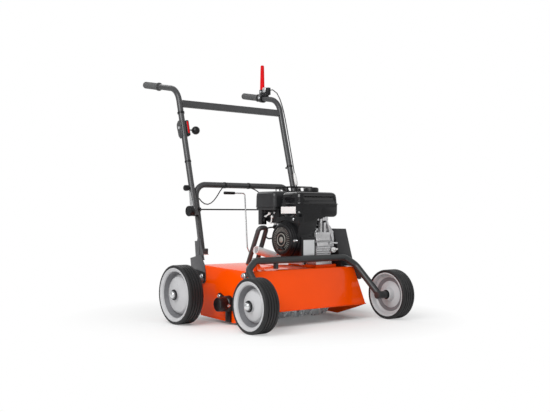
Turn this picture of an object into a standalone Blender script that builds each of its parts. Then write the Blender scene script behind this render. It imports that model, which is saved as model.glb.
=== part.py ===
"""Petrol lawn scarifier, built as separate pieces in metres.

X is the machine's left, Y points to the operator, Z is up. Everything is laid out from the ground
under the middle of the front axle, and one empty carries it all to the middle of the footprint.
"""
import math

import bmesh
import bpy
from mathutils import Matrix, Vector

# Clearances
TOUCH = 0.0003
RUNNING = 0.0005
LOOSE = 0.001

# Wheels
FRONT_TYRE_D = 0.205
FRONT_RIM_D = 0.181
REAR_TYRE_D = 0.234
REAR_RIM_D = 0.212
TYRE_WIDTH = 0.066
FRONT_WHEEL_OUT = 0.078
REAR_WHEEL_OUT = 0.141
WHEELBASE = 0.405
HUB_BORE_R = 0.0105
STUB_AXLE_R = 0.010
WHEEL_SIDES = 20

# Deck of folded sheet
DECK_HALF = 0.278
FRONT_TRACK = 2 * (DECK_HALF + FRONT_WHEEL_OUT)
REAR_TRACK = 2 * (DECK_HALF + REAR_WHEEL_OUT)
DECK_WALL = 0.003
DECK_FRONT_TOP = (0.142, 0.214)
DECK_FRONT_LOW = (0.070, 0.0616)
DECK_REAR_TOP = (0.476, 0.226)
DECK_REAR_LOW = (0.476, 0.018)
DECK_SKIRT_LOW = (0.240, 0.008)
DECK_SKIRT_FRONT = (0.125, 0.043)
FLAP_HINGE = (0.440, 0.212)
FLAP_ROD_R = 0.003
FLAP_LOW_Z = 0.055

# Rotor
ROTOR_Y = 0.272
ROTOR_Z = 0.082
KNIFE_R = 0.0800
KNIFE_THICK = 0.003
KNIFE_PITCH = 0.032
KNIFE_SIDE_GAP = 0.056
SPACER_END = 0.012
ROTOR_SHAFT_R = 0.0125
SPACER_R = 0.021
BEARING_DEPTH = 0.022
BEARING_FLANGE = 0.074
BEARING_CAP_R = 0.0275
BEARING_CAP_OUT = 0.058

# Front portal axle
PORTAL_R = 0.0135
PORTAL_BEND_R = 0.038
PORTAL_BAR = (0.147, 0.254)
PORTAL_BAR_IN = 0.033
PORTAL_KNEE_OUT = 0.014
PORTAL_KNEE = (0.128, 0.222)
# The left arm stands nearer the middle than the right one, at the knee and again at the elbow
PORTAL_LEFT_IN = 0.016
PORTAL_LEFT_ELBOW_IN = 0.024
PORTAL_STOP_X = (-0.150, -0.136)
PORTAL_STOP_Z = 0.2201
PORTAL_PIVOT = (0.170, 0.198)
PORTAL_PIN_R = 0.006
LUG_THICK = 0.005
LINK_HEIGHT = 0.0365

# Engine
CRANK_Y = 0.248
CRANK_Z = 0.330
CRANK_R = 0.010
CASE_X = (0.0853, 0.190)
CASE_WALL = 0.005
CASE_TOP_Z = 0.410
ENGINE_SEAT_Z = 0.2265
RECOIL_FACE_X = -0.034
RECOIL_R = 0.073
SHROUD_X = -0.011
SHROUD_Y = (0.159, 0.306)
SHROUD_LOW_Z = 0.398
BLOWER_X = (-0.005, 0.085)
BLOWER_R = 0.078
BLOWER_WALL = 0.0025
FLYWHEEL_R = 0.062
CYLINDER_X = (0.090, 0.156)
CYLINDER_TILT = 25.0
CYLINDER_START = 0.098
CYLINDER_END = 0.198
TANK_X = (-0.011, 0.208)
TANK_Y = (0.158, 0.289)
TANK_Z = (0.424, 0.527)
TANK_SEAM_Z = 0.478
TANK_WALL = 0.003
FILLER_R = 0.020
FILLER_AT = (0.108, 0.222)
CAP_R = 0.031
CAP_HEIGHT = 0.021
CLEANER_X = (-0.023, 0.070)
CLEANER_Y = (0.305, 0.441)
CLEANER_Z = (0.465, 0.532)
CARB_X = (-0.003, 0.045)
CARB_Y = (0.325, 0.383)
CARB_Z = (0.400, 0.452)
MUFFLER_X = (0.075, 0.192)
MUFFLER_Y = (0.310, 0.420)
MUFFLER_Z = (0.462, 0.555)
EXHAUST_X = 0.1745
EXHAUST_Y = 0.382
EXHAUST_R = 0.017
EXHAUST_WALL = 0.0015
EXHAUST_BEND_R = 0.034
EXHAUST_TURNS = ((0.1745, 0.382, 0.330), (0.1695, 0.379, 0.2500), (0.068, 0.377, 0.2470))
EXHAUST_END = (-0.078, 0.361, 0.2860)
STAY_R = 0.010
STAY_BEND_R = 0.016
STAY_ROUTE = ((-0.076, 0.430, 0.200), (-0.068, 0.352, 0.378), (-0.026, 0.354, 0.378), (-0.026, 0.435, 0.200))

# Belt drive
BELT_IN = 0.023
BELT_X = DECK_HALF - BELT_IN
BELT_WIDTH = 0.009
BELT_THICK = 0.007
PULLEY_WIDTH = 0.014
DRIVE_PULLEY_R = 0.033
DRIVEN_PULLEY_R = 0.041
GROOVE_DEPTH = 0.0080
IDLER_PULLEY_R = 0.017
IDLER_PIN_R = 0.005
IDLER_ARM_X = BELT_X - 0.0165
IDLER_PIVOT = (0.330, 0.247)
IDLER_AT = (0.3125, 0.2915)
GUARD_X = (BELT_X - 0.033, BELT_X + 0.041)
GUARD_WALL = 0.002
GUARD_FRONT_TOP = (0.208, 0.373)
GUARD_FRONT_LOW = (0.1585, 0.2166)
GUARD_REAR_Y = 0.352
GUARD_REAR_Z = 0.320
CRANK_BOSS_R = 0.022
CLUTCH_CABLE_END = (BELT_X - 0.012, 0.285)

# Handle and lower frame
TUBE_R = 0.0125
TUBE_WALL = 0.0015
LEG_INSET = 0.011
LEG_HALF = DECK_HALF - LEG_INSET - TUBE_R
HANDLE_HALF = LEG_HALF + 2 * TUBE_R + RUNNING
HANDLE_LEAN = 0.265
FOLD_AXIS = (0.517, 0.455)
HANDLE_LOW_Z = 0.430
HANDLE_CORNER = (0.655, 0.976)
HANDLE_BEND_R = 0.087
GRIP_RISE = 10.5
GRIP_END_Y = 0.931
GRIP_LENGTH = 0.126
GRIP_R = 0.0155
CROSSBAR_Z = 0.912
CROSSBAR_TALL = 0.030
CROSSBAR_DEEP = 0.016
RING_Z = 0.654
RING_LIP = 0.0018
LOCK_Z = 0.545
CROSS_TUBE = (0.5505, 0.561)
CROSS_TUBE_BEND_R = 0.048
LEG_FOOT = (0.5005, 0.286)
LEG_BEHIND_FOLD = 0.0205
TIE_ROD_R = 0.003
DISC_R = 0.019
DISC_THICK = 0.012
BRACKET_THICK = 0.004
REAR_BAR_AT = (0.450, 0.165)
REAR_BAR_R = 0.010
REAR_ARM_X = (DECK_HALF + 0.084, DECK_HALF + 0.096)
REAR_ARM_R = 0.015

# Controls
DEPTH_SHAFT = (0.500, 0.2065)
DEPTH_ARM = 0.030
DEPTH_ROD_R = 0.0032
DEPTH_TOP_Z = 0.526
DEPTH_TURN_X = (0.006, -0.019, -0.033)
DEPTH_EAR_R = 0.0082
DEPTH_GRIP_R = 0.0065
DEPTH_GRIP_X = (-0.143, -0.087)
LINK_X = (0.0140, 0.0180)
LINK_PIN_R = 0.003
LINK_TALL = 0.014
CLUTCH_PIVOT = (0.778, 1.030)
CLUTCH_TOP_Z = 1.160
CLUTCH_FOOT_R = 0.0100
THROTTLE_Z = 0.797
THROTTLE_BOX_WIDE = 0.016
THROTTLE_BALL_R = 0.018
CABLE_R = 0.0025

# The footprint's middle, front tyre to the lower edge of the grips' ends
REAR_END_Y = GRIP_END_Y + (GRIP_R - 0.003) * math.sin(math.radians(GRIP_RISE))
SHIFT_Y = (FRONT_TYRE_D / 2 - REAR_END_Y) / 2

COLOURS = {
    "orange_paint": ((0.87, 0.09, 0.005), 0.25, 0.0),
    "grey_paint": ((0.09, 0.095, 0.10), 0.42, 0.3),
    "bracket_grey": ((0.20, 0.20, 0.205), 0.45, 0.3),
    "black_plastic": ((0.018, 0.018, 0.02), 0.45, 0.0),
    "dark_plastic": ((0.05, 0.05, 0.053), 0.38, 0.0),
    "rim_plastic": ((0.55, 0.56, 0.57), 0.35, 0.0),
    "tyre_rubber": ((0.025, 0.025, 0.026), 0.75, 0.0),
    "aluminium": ((0.55, 0.55, 0.56), 0.38, 0.9),
    "steel": ((0.45, 0.45, 0.46), 0.32, 1.0),
    "zinc": ((0.68, 0.68, 0.67), 0.28, 1.0),
    "red_plastic": ((0.72, 0.016, 0.02), 0.32, 0.0),
}


def clear_scene():
    for thing in list(bpy.data.objects):
        bpy.data.objects.remove(thing, do_unlink=True)


def make_material(name):
    colour, roughness, metallic = COLOURS[name]
    made = bpy.data.materials.new(name)
    made.use_nodes = True
    shader = made.node_tree.nodes["Principled BSDF"]
    shader.inputs["Base Color"].default_value = (*colour, 1.0)
    shader.inputs["Roughness"].default_value = roughness
    shader.inputs["Metallic"].default_value = metallic
    return made


def to_object(shape):
    """A scene object from a bmesh, with its faces pointing out."""
    bmesh.ops.remove_doubles(shape, verts=shape.verts, dist=1e-7)
    bmesh.ops.recalc_face_normals(shape, faces=shape.faces)
    mesh = bpy.data.meshes.new("shape")
    shape.to_mesh(mesh)
    shape.free()
    made = bpy.data.objects.new("shape", mesh)
    bpy.context.collection.objects.link(made)
    return made


def block(x, y, z, round_edges=0.0, axis=None, segments=2):
    """A box between three (low, high) pairs, with its edges along one axis rounded if asked."""
    shape = bmesh.new()
    size = Vector((x[1] - x[0], y[1] - y[0], z[1] - z[0]))
    middle = Vector((x[0] + x[1], y[0] + y[1], z[0] + z[1])) / 2
    bmesh.ops.create_cube(shape, size=1.0)
    bmesh.ops.scale(shape, vec=size, verts=shape.verts)
    bmesh.ops.translate(shape, vec=middle, verts=shape.verts)
    if round_edges:
        edges = shape.edges[:]
        if axis is not None:
            edges = [e for e in edges if abs((e.verts[0].co - e.verts[1].co)[axis]) > 1e-6]
        bmesh.ops.bevel(shape, geom=edges, offset=round_edges, segments=segments,
                        profile=0.5, affect="EDGES", material=-1)
    return to_object(shape)


def prism(outline, low, high, axis=0):
    """A closed outline in the plane across an axis, extruded from low to high."""
    shape = bmesh.new()
    corners = []
    for first, second in outline:
        place = {0: (low, first, second), 1: (first, low, second), 2: (first, second, low)}[axis]
        corners.append(shape.verts.new(place))
    face = shape.faces.new(corners)
    grown = bmesh.ops.extrude_face_region(shape, geom=[face])
    moved = [v for v in grown["geom"] if isinstance(v, bmesh.types.BMVert)]
    shift = Vector((0, 0, 0))
    shift[axis] = high - low
    bmesh.ops.translate(shape, vec=shift, verts=moved)
    return to_object(shape)


def capsule(start, end, radius, steps=6):
    """The outline of a bar with round ends, between two points in the (y, z) plane."""
    heading = math.atan2(end[1] - start[1], end[0] - start[0])
    outline = []
    for (y, z), first in ((end, heading - math.pi / 2), (start, heading + math.pi / 2)):
        for index in range(steps + 1):
            angle = first + math.pi * index / steps
            outline.append((y + radius * math.cos(angle), z + radius * math.sin(angle)))
    return outline


def turned(profile, centre, direction, sides, phase=0.0):
    """A profile of (radius, distance along the axis) spun all round the axis through centre."""
    shape = bmesh.new()
    line = [shape.verts.new((radius, 0.0, along)) for radius, along in profile]
    edges = [shape.edges.new(pair) for pair in zip(line, line[1:])]
    if profile[0][0] > 0:
        edges.append(shape.edges.new((line[-1], line[0])))
    bmesh.ops.spin(shape, geom=line + edges, cent=(0, 0, 0), axis=(0, 0, 1),
                   angle=math.tau, steps=sides, use_merge=True, use_duplicate=False)
    bmesh.ops.remove_doubles(shape, verts=shape.verts, dist=1e-6)
    turn = Vector((0, 0, 1)).rotation_difference(Vector(direction)).to_matrix().to_4x4()
    place = Matrix.Translation(centre) @ turn @ Matrix.Rotation(phase, 4, "Z")
    bmesh.ops.transform(shape, matrix=place, verts=shape.verts)
    return to_object(shape)


def rod(start, end, radius, sides=12):
    """A plain round bar from start to end."""
    shape = bmesh.new()
    along = Vector(end) - Vector(start)
    turn = Vector((0, 0, 1)).rotation_difference(along).to_matrix().to_4x4()
    lift = Matrix.Translation((0, 0, along.length / 2))
    bmesh.ops.create_cone(shape, cap_ends=True, cap_tris=False, segments=sides, radius1=radius,
                          radius2=radius, depth=along.length, matrix=Matrix.Translation(start) @ turn @ lift)
    return to_object(shape)


def rounded(points, radius, step=22.0):
    """The polyline with each inner corner turned into an arc."""
    points = [Vector(p) for p in points]
    route = [points[0]]
    for before, corner, after in zip(points, points[1:], points[2:]):
        back = (before - corner).normalized()
        ahead = (after - corner).normalized()
        turn = math.pi - back.angle(ahead)
        reach = radius * math.tan(turn / 2)
        centre = corner + (back + ahead).normalized() * (radius / math.cos(turn / 2))
        count = max(2, math.ceil(math.degrees(turn) / step))
        first = corner + back * reach - centre
        spin = first.cross(corner + ahead * reach - centre).normalized()
        for index in range(count + 1):
            turned_by = Matrix.Rotation(turn * index / count, 3, spin)
            route.append(centre + turned_by @ first)
    route.append(points[-1])
    return route


def smooth_route(points, spacing):
    """Even points along a smooth curve through the given points."""
    points = [Vector(p) for p in points]
    padded = [2 * points[0] - points[1]] + points + [2 * points[-1] - points[-2]]
    fine = []
    for a, b, c, d in zip(padded, padded[1:], padded[2:], padded[3:]):
        for index in range(12):
            t = index / 12
            fine.append(0.5 * (2 * b + (c - a) * t + (2 * a - 5 * b + 4 * c - d) * t * t
                               + (3 * b - a - 3 * c + d) * t * t * t))
    fine.append(points[-1])
    lengths = [0.0]
    for a, b in zip(fine, fine[1:]):
        lengths.append(lengths[-1] + (b - a).length)
    count = max(2, round(lengths[-1] / spacing))
    route = []
    place = 0
    for index in range(count + 1):
        target = lengths[-1] * index / count
        while place < len(fine) - 2 and lengths[place + 1] < target:
            place += 1
        share = (target - lengths[place]) / (lengths[place + 1] - lengths[place])
        route.append(fine[place].lerp(fine[place + 1], share))
    return route


def tube(route, radius, sides=12):
    """A solid round tube along a route, with flat ends."""
    curve = bpy.data.curves.new("route", "CURVE")
    curve.dimensions = "3D"
    curve.bevel_depth = radius
    curve.bevel_resolution = (sides - 4) // 2
    curve.use_fill_caps = True
    spline = curve.splines.new("POLY")
    spline.points.add(len(route) - 1)
    for point, place in zip(spline.points, route):
        point.co = (*place, 1.0)
    guide = bpy.data.objects.new("route", curve)
    bpy.context.collection.objects.link(guide)
    graph = bpy.context.evaluated_depsgraph_get()
    mesh = bpy.data.meshes.new_from_object(guide.evaluated_get(graph))
    bpy.data.objects.remove(guide, do_unlink=True)
    shape = bmesh.new()
    shape.from_mesh(mesh)
    return to_object(shape)


def boolean(base, tools, operation):
    for tool in tools:
        modifier = base.modifiers.new("boolean", "BOOLEAN")
        modifier.operation = operation
        modifier.solver = "EXACT"
        modifier.object = tool
    graph = bpy.context.evaluated_depsgraph_get()
    mesh = bpy.data.meshes.new_from_object(base.evaluated_get(graph))
    base.modifiers.clear()
    base.data = mesh
    for tool in tools:
        bpy.data.objects.remove(tool, do_unlink=True)
    return base


def union(base, *tools):
    return boolean(base, tools, "UNION")


def cut(base, *tools):
    return boolean(base, tools, "DIFFERENCE")


def lean(thing, angle, y, z):
    """Turn a shape about an axis along X through (y, z)."""
    place = Matrix.Translation((0, y, z)) @ Matrix.Rotation(angle, 4, "X") @ Matrix.Translation((0, -y, -z))
    thing.data.transform(place)
    return thing


def mirrored(thing):
    """The same shape on the other side of the machine."""
    shape = bmesh.new()
    shape.from_mesh(thing.data)
    bmesh.ops.scale(shape, vec=(-1, 1, 1), verts=shape.verts)
    bpy.data.objects.remove(thing, do_unlink=True)
    return to_object(shape)


def finish(name, thing, finish_name, pivot=(0, 0, 0)):
    """Name a piece, give it its origin and material, and hang it on the machine."""
    thing.name = name
    thing.data.name = name
    thing.data.transform(Matrix.Translation(-Vector(pivot)))
    thing.location = pivot
    thing.parent = machine
    thing.data.materials.clear()
    thing.data.materials.append(materials[finish_name])
    thing.data.shade_smooth()
    thing.data.set_sharp_from_angle(angle=math.radians(38))
    return thing


def deck_top_z(y):
    """Height of the deck's sloping top plate."""
    run = DECK_REAR_TOP[0] - DECK_FRONT_TOP[0]
    rise = DECK_REAR_TOP[1] - DECK_FRONT_TOP[1]
    return DECK_FRONT_TOP[1] + (y - DECK_FRONT_TOP[0]) * rise / run


def handle_y(z):
    """The handle tube's Y at a height, below its upper bend."""
    return FOLD_AXIS[0] + (z - FOLD_AXIS[1]) * HANDLE_LEAN


def leg_y(z):
    """The lower frame leg's Y at a height."""
    share = (z - LEG_FOOT[1]) / (FOLD_AXIS[1] - LEG_FOOT[1])
    return LEG_FOOT[0] + share * (FOLD_AXIS[0] + LEG_BEHIND_FOLD - LEG_FOOT[0])


def on_crank(radius, angle):
    return (CRANK_Y + radius * math.cos(angle), CRANK_Z + radius * math.sin(angle))


def on_cylinder(along, across):
    """A (y, z) point from its distances along and across the cylinder's leaning axis."""
    tilt = math.radians(CYLINDER_TILT)
    return (CRANK_Y + along * math.cos(tilt) - across * math.sin(tilt),
            CRANK_Z + along * math.sin(tilt) + across * math.cos(tilt))


# Deck
def build_deck():
    side = [DECK_FRONT_TOP, DECK_REAR_TOP, DECK_REAR_LOW, DECK_SKIRT_LOW, DECK_SKIRT_FRONT,
            DECK_FRONT_LOW]
    shell = prism(side, -DECK_HALF, DECK_HALF)
    beyond = 0.1
    wall = DECK_WALL
    low_y, low_z = DECK_FRONT_LOW
    inner = [(DECK_FRONT_TOP[0] + 1.2 * wall, DECK_FRONT_TOP[1] - wall),
             (DECK_REAR_TOP[0] + beyond, deck_top_z(DECK_REAR_TOP[0] + beyond) - wall),
             (DECK_REAR_TOP[0] + beyond, -beyond), (low_y - beyond, -beyond),
             (low_y - beyond, low_z + 0.0015), (low_y + 1.6 * wall, low_z + 0.0015)]
    cut(shell, prism(inner, -DECK_HALF + wall, DECK_HALF - wall))
    lip = block((-DECK_HALF + TOUCH, DECK_HALF - TOUCH), (low_y - 0.004, low_y + 0.004),
                (low_z - 0.0005, low_z + wall))
    seat_y = (0.162, 0.338)
    seat = prism([(seat_y[0], deck_top_z(seat_y[0]) - 0.001), (seat_y[1], deck_top_z(seat_y[1]) - 0.001),
                  (seat_y[1], ENGINE_SEAT_Z), (seat_y[0], ENGINE_SEAT_Z)], CASE_X[0] - 0.006, CASE_X[1] + 0.004)
    ear = prism([(IDLER_PIVOT[0] - 0.014, deck_top_z(IDLER_PIVOT[0]) - 0.001),
                 (IDLER_PIVOT[0] + 0.014, deck_top_z(IDLER_PIVOT[0]) - 0.001),
                 (IDLER_PIVOT[0] + 0.010, IDLER_PIVOT[1] + 0.010),
                 (IDLER_PIVOT[0] - 0.010, IDLER_PIVOT[1] + 0.010)], BELT_X - 0.0250, BELT_X - 0.0205)
    ear_root = (DECK_REAR_TOP[0] - 0.010, DECK_REAR_TOP[1] - DEPTH_EAR_R - 0.0015)
    ear_first = LINK_X[1] + 0.0055
    ear_side = capsule(ear_root, DEPTH_SHAFT, DEPTH_EAR_R)
    depth_ears = [prism(ear_side, x, x + 0.004) for x in (ear_first, ear_first + 0.016)]
    stub = rod((-0.220, 0.178, deck_top_z(0.178) - 0.001), (-0.220, 0.178, 0.232), 0.007)
    union(shell, lip, seat, ear, stub, *depth_ears)
    through = DECK_HALF + 0.02
    belt_slot_y = (0.205, 0.318)
    lever_slot_y = (DEPTH_SHAFT[0] - 0.008, DEPTH_SHAFT[0] + 0.008)
    cut(shell,
        block((BELT_X - 0.013, BELT_X + 0.013), belt_slot_y, (0.19, 0.24)),
        block((DEPTH_TURN_X[0] - 0.020, ear_first - TOUCH), lever_slot_y, (DEPTH_SHAFT[1] - 0.008, 0.24)),
        rod((-through, ROTOR_Y, ROTOR_Z), (through, ROTOR_Y, ROTOR_Z), ROTOR_SHAFT_R + 0.003, 16),
        rod((-through, *PORTAL_PIVOT), (through, *PORTAL_PIVOT), PORTAL_PIN_R + RUNNING, 12),
        rod((-through, FLAP_HINGE[0], FLAP_HINGE[1]), (through, FLAP_HINGE[0], FLAP_HINGE[1]),
            FLAP_ROD_R + RUNNING, 10),
        rod((0.0, *DEPTH_SHAFT), (0.05, *DEPTH_SHAFT), DEPTH_ROD_R + RUNNING, 12),
        rod((BELT_X - 0.030, *IDLER_PIVOT), (BELT_X - 0.015, *IDLER_PIVOT), IDLER_PIN_R + RUNNING, 10))
    finish("deck", shell, "orange_paint")


# Rear debris flap on a hinge rod
def build_flap():
    hinge_y, hinge_z = FLAP_HINGE
    reach = DECK_HALF - DECK_WALL - LOOSE
    sheet = block((-reach, reach), (hinge_y - 0.0015, hinge_y + 0.0015), (FLAP_LOW_Z, hinge_z))
    pin = rod((-DECK_HALF + TOUCH, hinge_y, hinge_z), (DECK_HALF - TOUCH, hinge_y, hinge_z), FLAP_ROD_R, 10)
    union(sheet, pin)
    finish("rear_flap", sheet, "black_plastic", (0, hinge_y, hinge_z))


# Rotor
def build_rotor():
    start = -DECK_HALF - BEARING_DEPTH + 0.004
    end = DECK_HALF + BEARING_DEPTH - 0.004
    shaft = rod((start, ROTOR_Y, ROTOR_Z), (end, ROTOR_Y, ROTOR_Z), ROTOR_SHAFT_R, 16)
    finish("rotor_shaft", shaft, "steel", (0, ROTOR_Y, ROTOR_Z))

    corners = 9
    bore = ROTOR_SHAFT_R + RUNNING

    def ring(x, radii, offset):
        made = []
        for index in range(corners):
            radius = radii[(index + offset) % 3]
            angle = math.tau * index / corners
            made.append(shape.verts.new((x, ROTOR_Y + radius * math.cos(angle),
                                         ROTOR_Z + radius * math.sin(angle))))
        return made

    shape = bmesh.new()
    first_x = KNIFE_SIDE_GAP - DECK_HALF
    last_x = BELT_X - PULLEY_WIDTH / 2 - 0.007 - SPACER_END - KNIFE_THICK
    knife_count = math.floor((last_x - first_x) / KNIFE_PITCH + 0.001) + 1
    spacer = (SPACER_R, SPACER_R, SPACER_R)
    star = (KNIFE_R, KNIFE_R, 0.030)
    rings = [ring(first_x - SPACER_END, spacer, 0)]
    for number in range(knife_count):
        x = first_x + number * KNIFE_PITCH
        rings.append(ring(x, spacer, number))
        rings.append(ring(x, star, number))
        rings.append(ring(x + KNIFE_THICK, star, number))
        rings.append(ring(x + KNIFE_THICK, spacer, number))
    end_x = first_x + (knife_count - 1) * KNIFE_PITCH + KNIFE_THICK + SPACER_END
    facet = 1.07
    rings.append(ring(end_x, spacer, 0))
    rings.append(ring(end_x, (bore * facet,) * 3, 0))
    rings.append(ring(first_x - SPACER_END, (bore * facet,) * 3, 0))
    rings.append(rings[0])
    for one, other in zip(rings, rings[1:]):
        for index in range(corners):
            after = (index + 1) % corners
            shape.faces.new((one[index], one[after], other[after], other[index]))
    finish("knife_pack", to_object(shape), "steel", (0, ROTOR_Y, ROTOR_Z))

    for side, name in ((-1, "bearing_right"), (1, "bearing_left")):
        face = DECK_HALF + TOUCH
        half = BEARING_FLANGE / 2
        flange = block((face, face + 0.007), (ROTOR_Y - half, ROTOR_Y + half),
                       (ROTOR_Z - 0.026, ROTOR_Z + 0.026), 0.008, axis=0)
        cap = turned([(0, 0), (0.033, 0), (0.031, 0.018), (BEARING_CAP_R, 0.022),
                      (BEARING_CAP_R, BEARING_CAP_OUT - 0.004), (BEARING_CAP_R - 0.004, BEARING_CAP_OUT),
                      (0, BEARING_CAP_OUT)], (face, ROTOR_Y, ROTOR_Z), (1, 0, 0), 16)
        skid = block((face, face + 0.010), (ROTOR_Y - 0.017, ROTOR_Y + 0.013), (0.010, ROTOR_Z))
        union(flange, cap, skid)
        cut(flange, rod((DECK_HALF - 0.01, ROTOR_Y, ROTOR_Z),
                        (DECK_HALF + BEARING_DEPTH, ROTOR_Y, ROTOR_Z), ROTOR_SHAFT_R + RUNNING, 16))
        finish(name, flange if side > 0 else mirrored(flange), "black_plastic")


# Wheels
def build_wheel(name, side, track, y, tyre_d, rim_d):
    centre = (side * track / 2, y, tyre_d / 2)
    outward = (side, 0, 0)
    flat_phase = math.pi / WHEEL_SIDES
    facet = 1 / math.cos(flat_phase)
    half = TYRE_WIDTH / 2
    rim = rim_d / 2
    profile = [(0.0, 0.0465), (0.0095, 0.0445), (0.0125, 0.0390), (0.0125, 0.0300), (0.0195, 0.0300),
               (0.0205, 0.0220), (rim - 0.036, 0.0130), (rim - 0.024, 0.0040), (rim - 0.012, half - 0.004),
               (rim, half), (rim, -half), (rim - 0.012, -0.016), (rim - 0.036, -0.004),
               (0.022, -0.030), (HUB_BORE_R, -0.030), (HUB_BORE_R, 0.0185), (0.0, 0.0185)]
    finish(f"{name}_rim", turned(profile, centre, outward, WHEEL_SIDES, flat_phase), "rim_plastic", centre)

    outer = tyre_d / 2 * facet
    inner = rim + TOUCH
    tread = [(inner, -half), (outer - 0.004, -half), (outer, -half + 0.006)]
    groove_count = 3
    land = (TYRE_WIDTH - 0.012) / (groove_count + 1)
    for number in range(groove_count):
        middle = -half + 0.006 + land * (number + 1)
        tread += [(outer, middle - 0.002), (outer - 0.003, middle), (outer, middle + 0.002)]
    tread += [(outer, half - 0.006), (outer - 0.004, half), (inner, half)]
    finish(f"{name}_tyre", turned(tread, centre, outward, WHEEL_SIDES, flat_phase), "tyre_rubber", centre)


def build_wheels():
    for side, label in ((-1, "right"), (1, "left")):
        build_wheel(f"front_{label}", side, FRONT_TRACK, 0.0, FRONT_TYRE_D, FRONT_RIM_D)
        build_wheel(f"rear_{label}", side, REAR_TRACK, WHEELBASE, REAR_TYRE_D, REAR_RIM_D)


# Axles
def build_front_axle():
    bar_y, bar_z = PORTAL_BAR
    hub_z = FRONT_TYRE_D / 2
    hub_in = FRONT_TRACK / 2 - 0.030 - LOOSE
    knee_y, knee_z = PORTAL_KNEE
    elbow = (hub_in - 0.016, 0.006, hub_z + 0.006)
    half_route = [(DECK_HALF - PORTAL_BAR_IN, bar_y, bar_z), (DECK_HALF + PORTAL_KNEE_OUT, knee_y, knee_z), elbow]
    shifts = (PORTAL_LEFT_IN, PORTAL_LEFT_IN, PORTAL_LEFT_ELBOW_IN)
    right = [(-x, y, z) for x, y, z in reversed(half_route)]
    left = [(x - shift, y, z) for shift, (x, y, z) in zip(shifts, half_route)]
    axle = tube(rounded(right + left, PORTAL_BEND_R, 28), PORTAL_R, 12)
    stub_end = FRONT_TRACK / 2 + 0.0175
    pivot_y, pivot_z = PORTAL_PIVOT
    parts = []
    for side in (-1, 1):
        collar_in = hub_in - 0.030 - (PORTAL_LEFT_ELBOW_IN if side > 0 else 0)
        parts.append(rod((side * collar_in, 0, hub_z), (side * hub_in, 0, hub_z), 0.0150, 16))
        parts.append(rod((side * (hub_in - 0.010), 0, hub_z), (side * stub_end, 0, hub_z), STUB_AXLE_R, 16))
        near = DECK_HALF + TOUCH
        plate = [(pivot_y - 0.010, pivot_z - 0.011), (pivot_y + 0.008, pivot_z - 0.010),
                 (pivot_y + 0.011, pivot_z), (pivot_y + 0.002, pivot_z + 0.010),
                 (knee_y + 0.004, knee_z - 0.002), (knee_y - 0.006, knee_z - 0.006)]
        if side > 0:
            plate += [(knee_y - 0.026, knee_z - 0.045), (knee_y - 0.028, knee_z - 0.058),
                      (knee_y - 0.014, knee_z - 0.062)]
        ends = sorted((side * near, side * (near + LUG_THICK)))
        parts.append(prism(plate, *ends))
        parts.append(rod((side * (DECK_HALF - 0.008), *PORTAL_PIVOT), (side * (near + 0.012), *PORTAL_PIVOT),
                         PORTAL_PIN_R, 12))
    stop = block(PORTAL_STOP_X, (bar_y - 0.008, bar_y + 0.008), (PORTAL_STOP_Z, bar_z))
    pin_z = pivot_z + LINK_HEIGHT
    lug = prism([(bar_y - 0.006, bar_z - 0.004), (pivot_y - 0.006, pin_z - 0.006),
                 (pivot_y + 0.006, pin_z - 0.006), (pivot_y + 0.006, pin_z + 0.006), (bar_y + 0.006, bar_z + 0.004)],
                LINK_X[1] + TOUCH, LINK_X[1] + TOUCH + LUG_THICK)
    pin = rod((LINK_X[0] - 0.002, pivot_y, pin_z), (LINK_X[1] + 0.003, pivot_y, pin_z), LINK_PIN_R, 10)
    union(axle, *parts, stop, lug, pin)
    finish("front_axle", axle, "grey_paint", (0, pivot_y, pivot_z))


# Engine
def build_crankcase():
    low_x, high_x = CASE_X
    floor = ENGINE_SEAT_Z + TOUCH
    seat = CYLINDER_START - TOUCH
    side = [(0.165, floor), (0.335, floor), (0.335, 0.240), on_cylinder(seat, -0.046),
            on_cylinder(seat, 0.040), (0.285, CASE_TOP_Z), (0.222, CASE_TOP_Z), (0.190, 0.392),
            (0.174, 0.350), (0.170, 0.245), (0.165, 0.240)]
    case = prism(side, low_x, high_x - 0.018)
    cover_side = [on_crank(0.078, math.tau * i / 16) for i in range(16)]
    cover_side = [(y, max(z, floor + 0.012)) for y, z in cover_side]
    cover = prism(cover_side, high_x - 0.020, high_x)
    boss = rod((high_x - 0.004, CRANK_Y, CRANK_Z), (high_x + 0.012, CRANK_Y, CRANK_Z), CRANK_BOSS_R, 16)
    filler = rod((0.178, 0.200, 0.286), (0.178, 0.162, 0.286), 0.012, 12)
    union(case, cover, boss, filler)
    ribs = [block((low_x - 0.01, high_x - 0.024), (0.150, 0.1745), (z, z + 0.005)) for z in
            (0.246, 0.257, 0.268, 0.279)]
    chamber = block((low_x + CASE_WALL, high_x - 0.018 - CASE_WALL), (0.184, 0.316), (0.245, 0.388))
    shaft = rod((low_x - 0.02, CRANK_Y, CRANK_Z), (high_x + 0.03, CRANK_Y, CRANK_Z), CRANK_R + RUNNING, 16)
    bore = rod((0.178, 0.205, 0.286), (0.178, 0.150, 0.286), 0.0078, 10)
    cut(case, chamber, shaft, bore, *ribs)
    finish("crankcase", case, "aluminium")

    stick = turned([(0, -0.028), (0.0035, -0.026), (0.0035, 0.0), (0.011, TOUCH), (0.011, 0.006),
                    (0.006, 0.008), (0.006, 0.010), (0, 0.010)], (0.178, 0.162, 0.286), (0, -1, 0), 12)
    wing = block((0.165, 0.191), (0.146, 0.1535), (0.2845, 0.2875))
    union(stick, wing)
    finish("dipstick", stick, "zinc", (0.178, 0.162, 0.286))


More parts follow.
